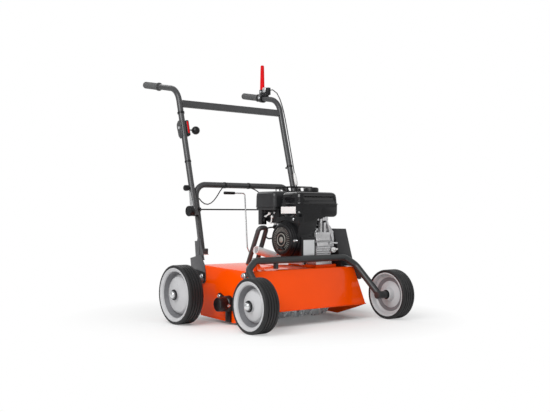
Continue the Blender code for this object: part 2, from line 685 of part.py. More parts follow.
def build_crankshaft():
    front = RECOIL_FACE_X + 0.012
    end = BELT_X + PULLEY_WIDTH / 2 + 0.003
    left = rod((front, CRANK_Y, CRANK_Z), (0.104, CRANK_Y, CRANK_Z), CRANK_R, 16)
    right = rod((0.120, CRANK_Y, CRANK_Z), (end, CRANK_Y, CRANK_Z), CRANK_R, 16)
    webs = [rod((x, CRANK_Y, CRANK_Z - 0.004), (x + 0.008, CRANK_Y, CRANK_Z - 0.004), 0.036, 16)
            for x in (0.098, 0.120)]
    throw = rod((0.100, CRANK_Y, CRANK_Z + 0.018), (0.124, CRANK_Y, CRANK_Z + 0.018), 0.012, 12)
    union(left, right, *webs, throw)
    finish("crankshaft", left, "steel", (0, CRANK_Y, CRANK_Z))

    bore = CRANK_R + TOUCH
    wheel = turned([(bore, 0.004), (bore, 0.040), (0.024, 0.040), (0.030, 0.030), (0.052, 0.030),
                    (FLYWHEEL_R, 0.024), (FLYWHEEL_R, 0.006), (0.046, 0.004)],
                   (BLOWER_X[0] + 0.006, CRANK_Y, CRANK_Z), (1, 0, 0), 16)
    blade_x = (BLOWER_X[0] + 0.002, BLOWER_X[0] + 0.014)
    blades = []
    for index in range(6):
        blade = block(blade_x, (CRANK_Y + 0.030, CRANK_Y + FLYWHEEL_R - 0.002),
                      (CRANK_Z - 0.002, CRANK_Z + 0.002))
        blades.append(lean(blade, math.tau * index / 6, CRANK_Y, CRANK_Z))
    union(wheel, *blades)
    finish("flywheel", wheel, "aluminium", (0, CRANK_Y, CRANK_Z))


def build_cylinder():
    reach = CYLINDER_END - CYLINDER_START
    fins = 6
    outline = []
    for index in range(fins):
        along = CYLINDER_START + reach * index / fins
        outline += [(along, 0.036), (along, 0.047), (along + 0.007, 0.047), (along + 0.007, 0.036)]
    outline += [(CYLINDER_END - 0.006, 0.036), (CYLINDER_END - 0.006, 0.040), (CYLINDER_END + 0.004, 0.040),
                (CYLINDER_END + 0.016, 0.026)]
    outline += [(along, -across) for along, across in reversed(outline)]
    outline = [(CRANK_Y + along, CRANK_Z + across) for along, across in outline]
    cylinder = prism(outline, *CYLINDER_X)
    lean(cylinder, math.radians(CYLINDER_TILT), CRANK_Y, CRANK_Z)
    plug = rod((CYLINDER_X[0] + 0.004, 0.410, 0.380), (CYLINDER_X[0] - 0.010, 0.410, 0.380), 0.006, 10)
    union(cylinder, plug)
    finish("cylinder", cylinder, "aluminium")

    cap_start = CYLINDER_X[0] - 0.010 - TOUCH
    lead = smooth_route([(cap_start - 0.014, 0.410, 0.380), (0.020, 0.408, 0.374), (0.000, 0.398, 0.350),
                         (-0.002, 0.375, 0.332), (0.008, 0.350, 0.335),
                         (0.020, CRANK_Y + BLOWER_R + TOUCH + 0.001, 0.343)], 0.009)
    cable = tube(lead, 0.0032, 8)
    cap = rod((cap_start, 0.410, 0.380), (cap_start - 0.022, 0.410, 0.380), 0.009, 12)
    union(cable, cap)
    finish("spark_plug_lead", cable, "black_plastic")


def build_blower():
    low_x, high_x = BLOWER_X
    front_y, rear_y = SHROUD_Y
    top = TANK_Z[0] - TOUCH
    wall = BLOWER_WALL
    around = [math.radians(a) for a in range(160, 391, 15)]
    outline = [on_crank(BLOWER_R, angle) for angle in around]
    outline += [(0.322, 0.372), (rear_y, top), (front_y, top), (front_y, SHROUD_LOW_Z)]
    housing = prism(outline, low_x, high_x)
    inner = [on_crank(BLOWER_R - wall, angle) for angle in around]
    inner += [(0.319, 0.371), (rear_y - wall, top - wall), (front_y + wall, top - wall),
              (front_y + wall, SHROUD_LOW_Z + 0.001)]
    arch = [on_crank(RECOIL_R + 0.0075, math.radians(a)) for a in (122, 106, 90, 74, 58)]
    panel = prism([(rear_y, top), (front_y, top), (front_y, SHROUD_LOW_Z)] + arch + [(rear_y, SHROUD_LOW_Z)],
                  SHROUD_X, low_x + 0.001)
    cut(housing, prism(inner, low_x + 0.001, high_x - BLOWER_WALL),
        rod((high_x - 0.01, CRANK_Y, CRANK_Z), (high_x + 0.01, CRANK_Y, CRANK_Z), 0.016, 16))
    foot = block((0.010, 0.040), (CRANK_Y - BLOWER_R - 0.006, CRANK_Y - BLOWER_R + 0.0015),
                 (CRANK_Z - 0.055, CRANK_Z + 0.012))
    union(housing, foot, panel)
    bore = [on_crank(BLOWER_R - wall, math.tau * i / 24) for i in range(24)]
    cut(housing, prism(bore, low_x - 0.02, low_x + 0.01))
    finish("blower_housing", housing, "black_plastic")

    back = low_x - TOUCH
    depth = back - RECOIL_FACE_X
    dome = [(0.0, 0.0), (0.061, 0.0), (0.065, 0.004), (0.065, 0.010), (0.069, 0.012), (0.069, 0.017),
            (RECOIL_R, 0.019), (RECOIL_R, depth - 0.003), (BLOWER_R - 0.001, depth - 0.003),
            (BLOWER_R - 0.001, depth), (RECOIL_R - 0.003, depth), (RECOIL_R - 0.003, 0.021),
            (0.061, 0.0135), (0.061, 0.006), (0.0, 0.004)]
    cover = turned(dome, (RECOIL_FACE_X, CRANK_Y, CRANK_Z), (1, 0, 0), 20)
    finish("recoil_cover", cover, "black_plastic")

    grip_y, grip_z = CRANK_Y - 0.022, CRANK_Z - 0.036
    bar_x = RECOIL_FACE_X - 0.020
    bar = tube([Vector((bar_x, grip_y - 0.014, grip_z)), Vector((bar_x, grip_y + 0.014, grip_z))], 0.006, 10)
    stem = rod((bar_x, grip_y, grip_z), (RECOIL_FACE_X - TOUCH, grip_y, grip_z), 0.0045, 10)
    union(bar, stem)
    finish("starter_grip", bar, "black_plastic", (RECOIL_FACE_X, grip_y, grip_z))


def build_tank():
    lower = block(TANK_X, TANK_Y, (TANK_Z[0], TANK_SEAM_Z + 0.001), 0.018, axis=2)
    upper = block((TANK_X[0] + 0.003, TANK_X[1] - 0.003), (TANK_Y[0] + 0.003, TANK_Y[1] - 0.003),
                  (TANK_SEAM_Z - 0.020, TANK_Z[1]), 0.014)
    seam = block((TANK_X[0] - 0.003, TANK_X[1] + 0.003), (TANK_Y[0] - 0.003, TANK_Y[1] + 0.002),
                 (TANK_SEAM_Z - 0.0015, TANK_SEAM_Z + 0.0015), 0.020, axis=2)
    neck = rod((*FILLER_AT, TANK_Z[1] - 0.01), (*FILLER_AT, TANK_Z[1] + 0.006), FILLER_R + 0.003, 16)
    feet = [block((x, x + 0.020), (0.200, 0.240), (CASE_TOP_Z + TOUCH, TANK_Z[0] + 0.001))
            for x in (0.095, 0.145)]
    union(lower, upper, seam, neck, *feet)
    wall = TANK_WALL
    inset = 0.003 + wall
    hollow = block((TANK_X[0] + inset, TANK_X[1] - inset), (TANK_Y[0] + inset, TANK_Y[1] - inset),
                   (TANK_Z[0] + wall, TANK_Z[1] - wall), 0.014, segments=1)
    cut(lower, hollow, rod((*FILLER_AT, TANK_Z[1] - 0.02), (*FILLER_AT, TANK_Z[1] + 0.02), FILLER_R, 16))
    finish("fuel_tank", lower, "dark_plastic")

    top = TANK_Z[1] + 0.006 + TOUCH
    high = top + CAP_HEIGHT - 0.006
    skirt = FILLER_R + 0.003 + TOUCH
    cap = turned([(0, top), (skirt, top), (skirt, top - 0.005), (CAP_R, top - 0.005), (CAP_R, high - 0.004),
                  (CAP_R - 0.005, high), (0, high)], (*FILLER_AT, 0), (0, 0, 1), 20)
    finish("fuel_cap", cap, "black_plastic", (*FILLER_AT, top))


def build_air_cleaner():
    cover = block(CLEANER_X, CLEANER_Y, CLEANER_Z, 0.010)
    finish("air_cleaner_cover", cover, "dark_plastic")
    top = CLEANER_Z[0] - TOUCH
    plate = block((CLEANER_X[0] + 0.002, CLEANER_X[1] - 0.004), (CLEANER_Y[0] + 0.004, CLEANER_Y[1] - 0.004),
                  (CARB_Z[1] + TOUCH, top), 0.008, axis=2)
    column = block((CLEANER_X[0] - 0.0017, CLEANER_X[0] + 0.0103), (0.392, 0.414), (0.391, CARB_Z[1] + 0.004))
    union(plate, column)
    finish("air_cleaner_base", plate, "dark_plastic")

    body = block(CARB_X, CARB_Y, (CARB_Z[0] + 0.012, CARB_Z[1]), 0.005, axis=0)
    bowl = rod((0.022, 0.352, CARB_Z[0]), (0.022, 0.352, CARB_Z[0] + 0.014), 0.017, 14)
    port = rod((CARB_X[1] - 0.002, 0.352, 0.421), (CYLINDER_X[0] - TOUCH, 0.352, 0.421), 0.009, 12)
    union(body, bowl, port)
    finish("carburetor", body, "aluminium")

    face = CARB_X[0] - TOUCH
    for name, (y, z), (dy, dz) in (("choke_lever", (0.361, 0.438), (0.021, -0.012)),
                                   ("throttle_arm", (0.342, 0.424), (0.004, -0.024))):
        hub = rod((face, y, z), (face - 0.006, y, z), 0.006, 10)
        arm = tube([Vector((face - 0.004, y, z)), Vector((face - 0.004, y + dy, z + dz))], 0.0022, 8)
        tip = rod((face - 0.002, y + dy, z + dz), (face - 0.011, y + dy, z + dz), 0.004, 10)
        union(hub, arm, tip)
        finish(name, hub, "zinc", (face, y, z))


def build_muffler():
    can = block(MUFFLER_X, MUFFLER_Y, MUFFLER_Z, 0.016, axis=0)
    port = rod((0.125, *on_cylinder(0.140, 0.047 + TOUCH)), (0.125, *on_cylinder(0.140, 0.098)), 0.011, 12)
    outlet = rod((EXHAUST_X, EXHAUST_Y, MUFFLER_Z[0] + 0.004), (EXHAUST_X, EXHAUST_Y, MUFFLER_Z[0] - 0.006),
                 EXHAUST_R, 12)
    union(can, port, outlet)
    cut(can, rod((EXHAUST_X, EXHAUST_Y, MUFFLER_Z[0] + 0.03),
                 (EXHAUST_X, EXHAUST_Y, MUFFLER_Z[0] - 0.02), 0.012, 10),
        block((MUFFLER_X[0] + 0.003, MUFFLER_X[1] - 0.003), (MUFFLER_Y[0] + 0.003, MUFFLER_Y[1] - 0.003),
              (MUFFLER_Z[0] + 0.003, MUFFLER_Z[1] - 0.003), 0.014, axis=0))
    finish("muffler", can, "black_plastic")

    start = MUFFLER_Z[0] - 0.006 - TOUCH
    route = rounded([(EXHAUST_X, EXHAUST_Y, start), *EXHAUST_TURNS, EXHAUST_END], EXHAUST_BEND_R, 45)
    pipe = tube(route, EXHAUST_R, 10)
    beyond = [route[0] + Vector((0, 0, 0.01))] + route[1:-1]
    beyond.append(route[-1] + (route[-1] - route[-2]).normalized() * 0.01)
    cut(pipe, tube(beyond, EXHAUST_R - EXHAUST_WALL, 8))
    finish("exhaust_pipe", pipe, "steel")


def build_stay():
    hoop = tube(rounded(STAY_ROUTE, STAY_BEND_R, 40), STAY_R, 10)
    front, rear = 0.9 * STAY_ROUTE[3][1], 1.1 * STAY_ROUTE[0][1]
    low = 0.8 * STAY_ROUTE[0][2]
    cut(hoop, prism([(front, low), (rear, low), (rear, deck_top_z(rear) + TOUCH),
                     (front, deck_top_z(front) + TOUCH)], STAY_ROUTE[0][0] - 0.04, STAY_ROUTE[3][0] + 0.04))
    finish("engine_stay", hoop, "grey_paint")


# Belt drive
def build_pulley(name, radius, y, z, shaft_r):
    half = PULLEY_WIDTH / 2
    neck = BELT_WIDTH / 2 + TOUCH
    floor = radius - GROOVE_DEPTH
    profile = [(shaft_r + TOUCH, -half), (radius, -half), (radius, -neck), (floor, -neck), (floor, neck),
               (radius, neck), (radius, half), (shaft_r + TOUCH, half)]
    finish(name, turned(profile, (BELT_X, y, z), (1, 0, 0), 16), "steel", (BELT_X, y, z))


def belt_outline(grow):
    """The belt's loop round both pulleys, from their groove floors out by grow."""
    low = Vector((ROTOR_Y, ROTOR_Z))
    high = Vector((CRANK_Y, CRANK_Z))
    r_low = DRIVEN_PULLEY_R - GROOVE_DEPTH + grow
    r_high = DRIVE_PULLEY_R - GROOVE_DEPTH + grow
    span = high - low
    heading = math.atan2(span.y, span.x)
    lean_angle = math.acos((r_low - r_high) / span.length)
    outline = []
    for centre, radius, first, last in ((high, r_high, heading - lean_angle, heading + lean_angle),
                                        (low, r_low, heading + lean_angle, heading - lean_angle + math.tau)):
        for index in range(11):
            angle = first + (last - first) * index / 10
            outline.append((centre.x + radius * math.cos(angle), centre.y + radius * math.sin(angle)))
    return outline


def build_belt_drive():
    build_pulley("drive_pulley", DRIVE_PULLEY_R, CRANK_Y, CRANK_Z, CRANK_R)
    build_pulley("driven_pulley", DRIVEN_PULLEY_R, ROTOR_Y, ROTOR_Z, ROTOR_SHAFT_R)
    half = BELT_WIDTH / 2
    slack = TOUCH + 0.0004
    belt = prism(belt_outline(slack + BELT_THICK), BELT_X - half, BELT_X + half)
    cut(belt, prism(belt_outline(slack), BELT_X - 0.02, BELT_X + 0.02))
    finish("drive_belt", belt, "black_plastic")

    py, pz = IDLER_PIVOT
    iy, iz = IDLER_AT
    pin = rod((IDLER_ARM_X - 0.010, py, pz), (IDLER_ARM_X + 0.0015, py, pz), IDLER_PIN_R, 10)
    arm = tube([Vector((IDLER_ARM_X, py, pz)), Vector((IDLER_ARM_X, iy, iz))], 0.0035, 8)
    axle = rod((IDLER_ARM_X - 0.003, iy, iz), (BELT_X + 0.006, iy, iz), 0.004, 10)
    union(pin, arm, axle)
    finish("idler_arm", pin, "zinc", (IDLER_ARM_X, py, pz))
    wheel = turned([(0.004 + TOUCH, -0.005), (IDLER_PULLEY_R, -0.005), (IDLER_PULLEY_R, 0.005),
                    (0.004 + TOUCH, 0.005)], (BELT_X, iy, iz), (1, 0, 0), 16)
    finish("idler_pulley", wheel, "steel", (BELT_X, iy, iz))


def build_guard():
    low_x, high_x = GUARD_X
    low_y, low_z = GUARD_FRONT_LOW
    rear = GUARD_REAR_Y
    lift = TOUCH
    outline = [(low_y, low_z), GUARD_FRONT_TOP, (rear - 0.052, GUARD_FRONT_TOP[1]), (rear, GUARD_REAR_Z),
               (rear, deck_top_z(rear) + lift)]
    guard = prism(outline, low_x, high_x)
    wall = GUARD_WALL
    inner_top = GUARD_FRONT_TOP[1] - wall
    inner = [(low_y + 1.4 * wall - 0.016, low_z - 0.05), (GUARD_FRONT_TOP[0] + wall, inner_top),
             (rear - 0.053, inner_top), (rear - wall, GUARD_REAR_Z - 0.001), (rear - wall, 0.16)]
    cable_x, cable_z = CLUTCH_CABLE_END
    cut(guard, prism(inner, low_x + wall, high_x - wall),
        rod((low_x - 0.02, CRANK_Y, CRANK_Z), (low_x + 0.01, CRANK_Y, CRANK_Z), CRANK_BOSS_R + LOOSE, 16),
        rod((cable_x, rear - 0.01, cable_z), (cable_x, rear + 0.01, cable_z), CABLE_R + LOOSE, 8))
    finish("belt_guard", guard, "dark_plastic")


# Lower frame and brackets
def build_lower_frame():
    y, z = CROSS_TUBE
    knee_z = z - 0.060
    half = rounded([(-LEG_HALF, *LEG_FOOT), (-LEG_HALF, leg_y(knee_z), knee_z), (-LEG_HALF, y, z), (0, y, z)],
                   CROSS_TUBE_BEND_R, 30)[:-1]
    route = half + [Vector((-p.x, p.y, p.z)) for p in reversed(half)]
    frame = tube(route, TUBE_R, 12)
    fold_y, fold_z = FOLD_AXIS
    lugs = [prism(capsule(FOLD_AXIS, (fold_y + LEG_BEHIND_FOLD, fold_z), 0.009), x - 0.002, x + 0.002)
            for x in (-LEG_HALF, LEG_HALF)]
    union(frame, *lugs)
    down = (route[0] - route[1]).normalized() * 0.01
    inner = [route[0] + down] + route[1:-1] + [Vector((-route[0].x, *(route[0] + down).yz))]
    cut(frame, tube(inner, TUBE_R - TUBE_WALL, 8),
        rod((-0.3, *FOLD_AXIS), (0.3, *FOLD_AXIS), TIE_ROD_R + RUNNING, 8))
    finish("lower_frame", frame, "grey_paint")

    rod_end = HANDLE_HALF + TUBE_R + LOOSE
    tie = rod((-rod_end - 0.004, *FOLD_AXIS), (rod_end + 0.004, *FOLD_AXIS), TIE_ROD_R, 8)
    discs = []
    for side in (-1, 1):
        discs.append(turned([(0, 0), (DISC_R, 0), (DISC_R, DISC_THICK - 0.003), (DISC_R - 0.003, DISC_THICK),
                             (0, DISC_THICK)], (side * rod_end, *FOLD_AXIS), (side, 0, 0), 20))
    union(tie, *discs)
    finish("tie_rod", tie, "black_plastic")


def build_brackets():
    near = DECK_HALF + TOUCH
    axle = (WHEELBASE, REAR_TYRE_D / 2)
    plate_side = [(0.548, 0.251), (0.471, 0.268), (0.444, 0.227), (0.435, 0.193), (0.436, 0.160), (0.450, 0.150),
                  (0.480, 0.150), (0.500, 0.170), (0.540, 0.205)]
    strap_x = (LEG_HALF + TUBE_R + TOUCH, LEG_HALF + TUBE_R + TOUCH + BRACKET_THICK)
    strap_side = [(0.462, 0.245), (0.494, 0.245), (0.500, 0.270), (0.514, 0.323), (leg_y(0.335) - 0.001, 0.335),
                  (leg_y(0.424) - 0.001, 0.424), (leg_y(0.424) - 0.014, 0.424), (leg_y(0.335) - 0.014, 0.335),
                  (0.492, 0.329), (0.469, 0.270)]
    foot_top = LEG_FOOT[1] - TUBE_R * 0.25 - TOUCH
    arm_in, arm_out = REAR_ARM_X
    collar_end = REAR_TRACK / 2 - 0.030 - LOOSE
    stub_end = REAR_TRACK / 2 + 0.0175
    for side, name in ((-1, "handle_bracket_right"), (1, "handle_bracket_left")):
        plate = prism(plate_side, near, near + BRACKET_THICK)
        strap = prism(strap_side, *strap_x)
        joggle = block((strap_x[0], near + BRACKET_THICK), (0.467, 0.492), (0.2460, 0.2530))
        foot = block((LEG_HALF - TUBE_R, strap_x[1]), (LEG_FOOT[0] - 0.014, LEG_FOOT[0] + 0.018),
                     (foot_top - 0.004, foot_top))
        bar = rod((near + 0.001, *REAR_BAR_AT), (arm_out - 0.003, *REAR_BAR_AT), REAR_BAR_R, 12)
        arm = prism(capsule(REAR_BAR_AT, axle, REAR_ARM_R), arm_in, arm_out)
        collar = rod((arm_in + 0.006, *axle), (collar_end, *axle), 0.0140, 16)
        stub = rod((arm_in + 0.003, *axle), (stub_end, *axle), STUB_AXLE_R, 16)
        union(plate, strap, joggle, foot, bar, arm, collar, stub)
        finish(name, plate if side > 0 else mirrored(plate), "bracket_grey")


# Upper handle
def handle_route(side):
    rise = math.tan(math.radians(GRIP_RISE))
    corner_y, corner_z = HANDLE_CORNER
    low = (side * HANDLE_HALF, handle_y(HANDLE_LOW_Z), HANDLE_LOW_Z)
    end_y = GRIP_END_Y - 0.004
    end = (side * HANDLE_HALF, end_y, corner_z + (end_y - corner_y) * rise)
    corner = (side * HANDLE_HALF, corner_y, corner_z)
    return rounded([low, corner, end], HANDLE_BEND_R, 17)


def grip_line(back):
    """A point on the grip's axis, a distance back from the grip's rear end."""
    rise = math.radians(GRIP_RISE)
    end_z = HANDLE_CORNER[1] + (GRIP_END_Y - HANDLE_CORNER[0]) * math.tan(rise)
    return Vector((0, GRIP_END_Y - back * math.cos(rise), end_z - back * math.sin(rise)))


def build_handle():
    tubes = []
    bores = []
    for side in (-1, 1):
        route = handle_route(side)
        tubes.append(tube(route, TUBE_R, 12))
        low = route[0] - (route[1] - route[0]).normalized() * 0.01
        high = route[-1] + (route[-1] - route[-2]).normalized() * 0.01
        bores.append(tube([low] + route[1:-1] + [high], TUBE_R - TUBE_WALL, 8))
        along = Vector((0, HANDLE_LEAN, 1)).normalized()
        ring_at = Vector((side * HANDLE_HALF, handle_y(RING_Z), RING_Z))
        tubes.append(rod(ring_at, ring_at + along * 0.008, TUBE_R + RING_LIP, 14))
    bar_y = handle_y(CROSSBAR_Z)
    bar = block((-HANDLE_HALF, HANDLE_HALF), (bar_y - CROSSBAR_DEEP / 2, bar_y + CROSSBAR_DEEP / 2),
                (CROSSBAR_Z - CROSSBAR_TALL / 2, CROSSBAR_Z + CROSSBAR_TALL / 2))
    hollow = block((-HANDLE_HALF, HANDLE_HALF),
                   (bar_y - CROSSBAR_DEEP / 2 + TUBE_WALL, bar_y + CROSSBAR_DEEP / 2 - TUBE_WALL),
                   (CROSSBAR_Z - CROSSBAR_TALL / 2 + TUBE_WALL, CROSSBAR_Z + CROSSBAR_TALL / 2 - TUBE_WALL))
    lean_angle = -math.atan(HANDLE_LEAN)
    lean(bar, lean_angle, bar_y, CROSSBAR_Z)
    lean(hollow, lean_angle, bar_y, CROSSBAR_Z)
    handle = tubes[0]
    union(handle, *tubes[1:], bar)
    lock_y = handle_y(LOCK_Z)
    cut(handle, *bores, hollow,
        rod((-0.4, *FOLD_AXIS), (0.4, *FOLD_AXIS), TIE_ROD_R + RUNNING, 8),
        rod((-0.4, lock_y, LOCK_Z), (0.4, lock_y, LOCK_Z), 0.004 + RUNNING, 8))
    finish("upper_handle", handle, "grey_paint", (0, *FOLD_AXIS))

    rise = math.radians(GRIP_RISE)
    forward = (0, -math.cos(rise), -math.sin(rise))
    for side, name in ((-1, "grip_right"), (1, "grip_left")):
        inner = TUBE_R + TOUCH
        start = grip_line(0.0) + Vector((side * HANDLE_HALF, 0, 0))
        length = GRIP_LENGTH
        profile = [(0, 0), (GRIP_R - 0.003, 0), (GRIP_R, 0.003), (GRIP_R - 0.001, length - 0.010),
                   (GRIP_R + 0.003, length - 0.008), (GRIP_R + 0.003, length), (inner, length),
                   (inner, 0.0036), (0, 0.0036)]
        finish(name, turned(profile, start, forward, 16), "black_plastic")

    for side, name in ((-1, "lock_knob_right"), (1, "lock_knob_left")):
        near = HANDLE_HALF + TUBE_R + LOOSE
        knob = turned([(0, -0.026), (0.004, -0.026), (0.004, 0), (0.009, 0), (0.013, 0.004), (0.013, 0.020),
                       (0.010, 0.024), (0, 0.024)], (side * near, lock_y, LOCK_Z), (side, 0, 0), 14)
        finish(name, knob, "black_plastic", (side * near, lock_y, LOCK_Z))


# Controls on the handle
def build_clutch():
    py, pz = CLUTCH_PIVOT
    rise = math.radians(GRIP_RISE)
    line = grip_line((GRIP_END_Y - py) / math.cos(rise))
    clamp = turned([(TUBE_R + TOUCH, -0.012), (0.020, -0.012), (0.020, 0.012), (TUBE_R + TOUCH, 0.012)],
                   (HANDLE_HALF, line.y, line.z), (0, math.cos(rise), math.sin(rise)), 16)
    cheeks = [block((HANDLE_HALF + x, HANDLE_HALF + x + 0.003), (py - 0.018, py + 0.012),
                    (line.z + 0.0155, pz + 0.011)) for x in (-0.0092, 0.0062)]
    barrel = rod((HANDLE_HALF, py - 0.046, pz + 0.002), (HANDLE_HALF, py - 0.024, pz + 0.002), 0.006, 10)
    bridge = block((HANDLE_HALF - 0.0092, HANDLE_HALF + 0.0092), (py - 0.028, py - 0.0155),
                   (line.z + 0.013, pz + 0.011))
    union(clamp, *cheeks, bridge, barrel)
    cut(clamp, rod((HANDLE_HALF - 0.02, py, pz), (HANDLE_HALF + 0.02, py, pz), 0.0035 + RUNNING, 10))
    finish("clutch_bracket", clamp, "black_plastic")

    half = 0.0055
    foot = [(py + CLUTCH_FOOT_R * math.cos(math.radians(a)), pz + CLUTCH_FOOT_R * math.sin(math.radians(a)))
            for a in (180, 210, 240, 270, 300, 330, 360)]
    blade = prism(foot + [(py + 0.013, pz + 0.012),
                   (py + 0.008, CLUTCH_TOP_Z - 0.004), (py + 0.004, CLUTCH_TOP_Z), (py - 0.004, CLUTCH_TOP_Z),
                   (py - 0.008, CLUTCH_TOP_Z - 0.004), (py - 0.012, pz + 0.012)],
                  HANDLE_HALF - half, HANDLE_HALF + half)
    pin = rod((HANDLE_HALF - 0.0100, py, pz), (HANDLE_HALF + 0.0100, py, pz), 0.0035, 10)
    union(blade, pin)
    finish("clutch_lever", blade, "red_plastic", (HANDLE_HALF, py, pz))


def build_throttle():
    y = handle_y(THROTTLE_Z)
    outer = HANDLE_HALF + TUBE_R + TOUCH
    inner = HANDLE_HALF - TUBE_R - TOUCH
    face = THROTTLE_BOX_WIDE - inner
    plate = block((-outer - 0.004, -outer), (y - 0.011, y + 0.014), (THROTTLE_Z - 0.034, THROTTLE_Z + 0.041),
                  0.009, axis=0)
    box = block((-inner, face), (y - 0.010, y + 0.014), (THROTTLE_Z - 0.028, THROTTLE_Z + 0.042), 0.007, axis=0)
    strap = block((-outer - 0.002, -inner + 0.004), (y + TUBE_R + TOUCH, y + 0.017),
                  (THROTTLE_Z - 0.024, THROTTLE_Z + 0.030))
    union(box, strap, plate)
    cut(box, block((face - 0.0148, face + 0.01), (y - 0.0035, y + 0.0035),
                   (THROTTLE_Z - 0.018, THROTTLE_Z + 0.024)))
    angle = -math.atan(HANDLE_LEAN)
    lean(box, angle, y, THROTTLE_Z)
    finish("throttle_housing", box, "black_plastic")

    pivot_x = face - 0.008
    ball_x = face + 0.034
    size = THROTTLE_BALL_R
    hub = rod((pivot_x, y - 0.0030, THROTTLE_Z), (pivot_x, y + 0.0030, THROTTLE_Z), 0.006, 12)
    stem = rod((pivot_x, y, THROTTLE_Z), (ball_x - 0.010, y, THROTTLE_Z), 0.0026, 8)
    ball = turned([(0, -size), (0.44 * size, -0.89 * size), (0.86 * size, -0.53 * size), (size, 0.0),
                   (0.86 * size, 0.53 * size), (0.44 * size, 0.89 * size), (0, size)],
                  (ball_x, y, THROTTLE_Z), (1, 0, 0), 14)
    union(hub, stem, ball)
    lean(hub, angle, y, THROTTLE_Z)
    finish("throttle_lever", hub, "black_plastic", (pivot_x, y, THROTTLE_Z))


def build_depth_lever():
    y, z = DEPTH_SHAFT
    knob_low, knob_high = DEPTH_GRIP_X
    near_x, far_x, corner_x = DEPTH_TURN_X
    route = rounded([(LINK_X[1] + 0.030, y, z), (near_x, y, z), (near_x - 0.012, y, z + 0.0595),
                     (far_x, y, z + 0.0835), (corner_x, y, DEPTH_TOP_Z), (knob_high - 0.01, y, DEPTH_TOP_Z)],
                    0.012, 24)
    lever = tube(route, DEPTH_ROD_R, 8)
    grip = rod((knob_low, y, DEPTH_TOP_Z), (knob_high, y, DEPTH_TOP_Z), DEPTH_GRIP_R, 12)
    pin_z = z + DEPTH_ARM
    arm_x = LINK_X[1] + TOUCH
    arm = block((arm_x, arm_x + 0.004), (y - 0.006, y + 0.006), (z - 0.006, pin_z + 0.006))
    pin = rod((LINK_X[0] - 0.002, y, pin_z), (arm_x + 0.002, y, pin_z), LINK_PIN_R, 10)
    union(lever, grip, arm, pin)
    finish("depth_lever", lever, "zinc", (0, y, z))

    front = (PORTAL_PIVOT[0], PORTAL_PIVOT[1] + LINK_HEIGHT)
    rear = (y, pin_z)
    half = LINK_TALL / 2
    link = prism(capsule(front, rear, half), *LINK_X)
    middle = [(front[0] + 0.02, front[1] + half + 0.01), (front[0] + 0.02, front[1] + 0.003),
              (rear[0] - 0.02, rear[1] + 0.003), (rear[0] - 0.02, rear[1] + half + 0.01)]
    under = [(front[0] + 0.02, front[1] - half - 0.01), (front[0] + 0.02, front[1] - 0.004),
             (rear[0] - 0.02, rear[1] - 0.004), (rear[0] - 0.02, rear[1] - half - 0.01)]
    hole = LINK_PIN_R + 0.0012
    cut(link, prism(middle, 0, 0.04), prism(under, 0, 0.04),
        rod((0, *front), (0.04, *front), hole, 10), rod((0, *rear), (0.04, *rear), hole, 10))
    finish("depth_link", link, "zinc")


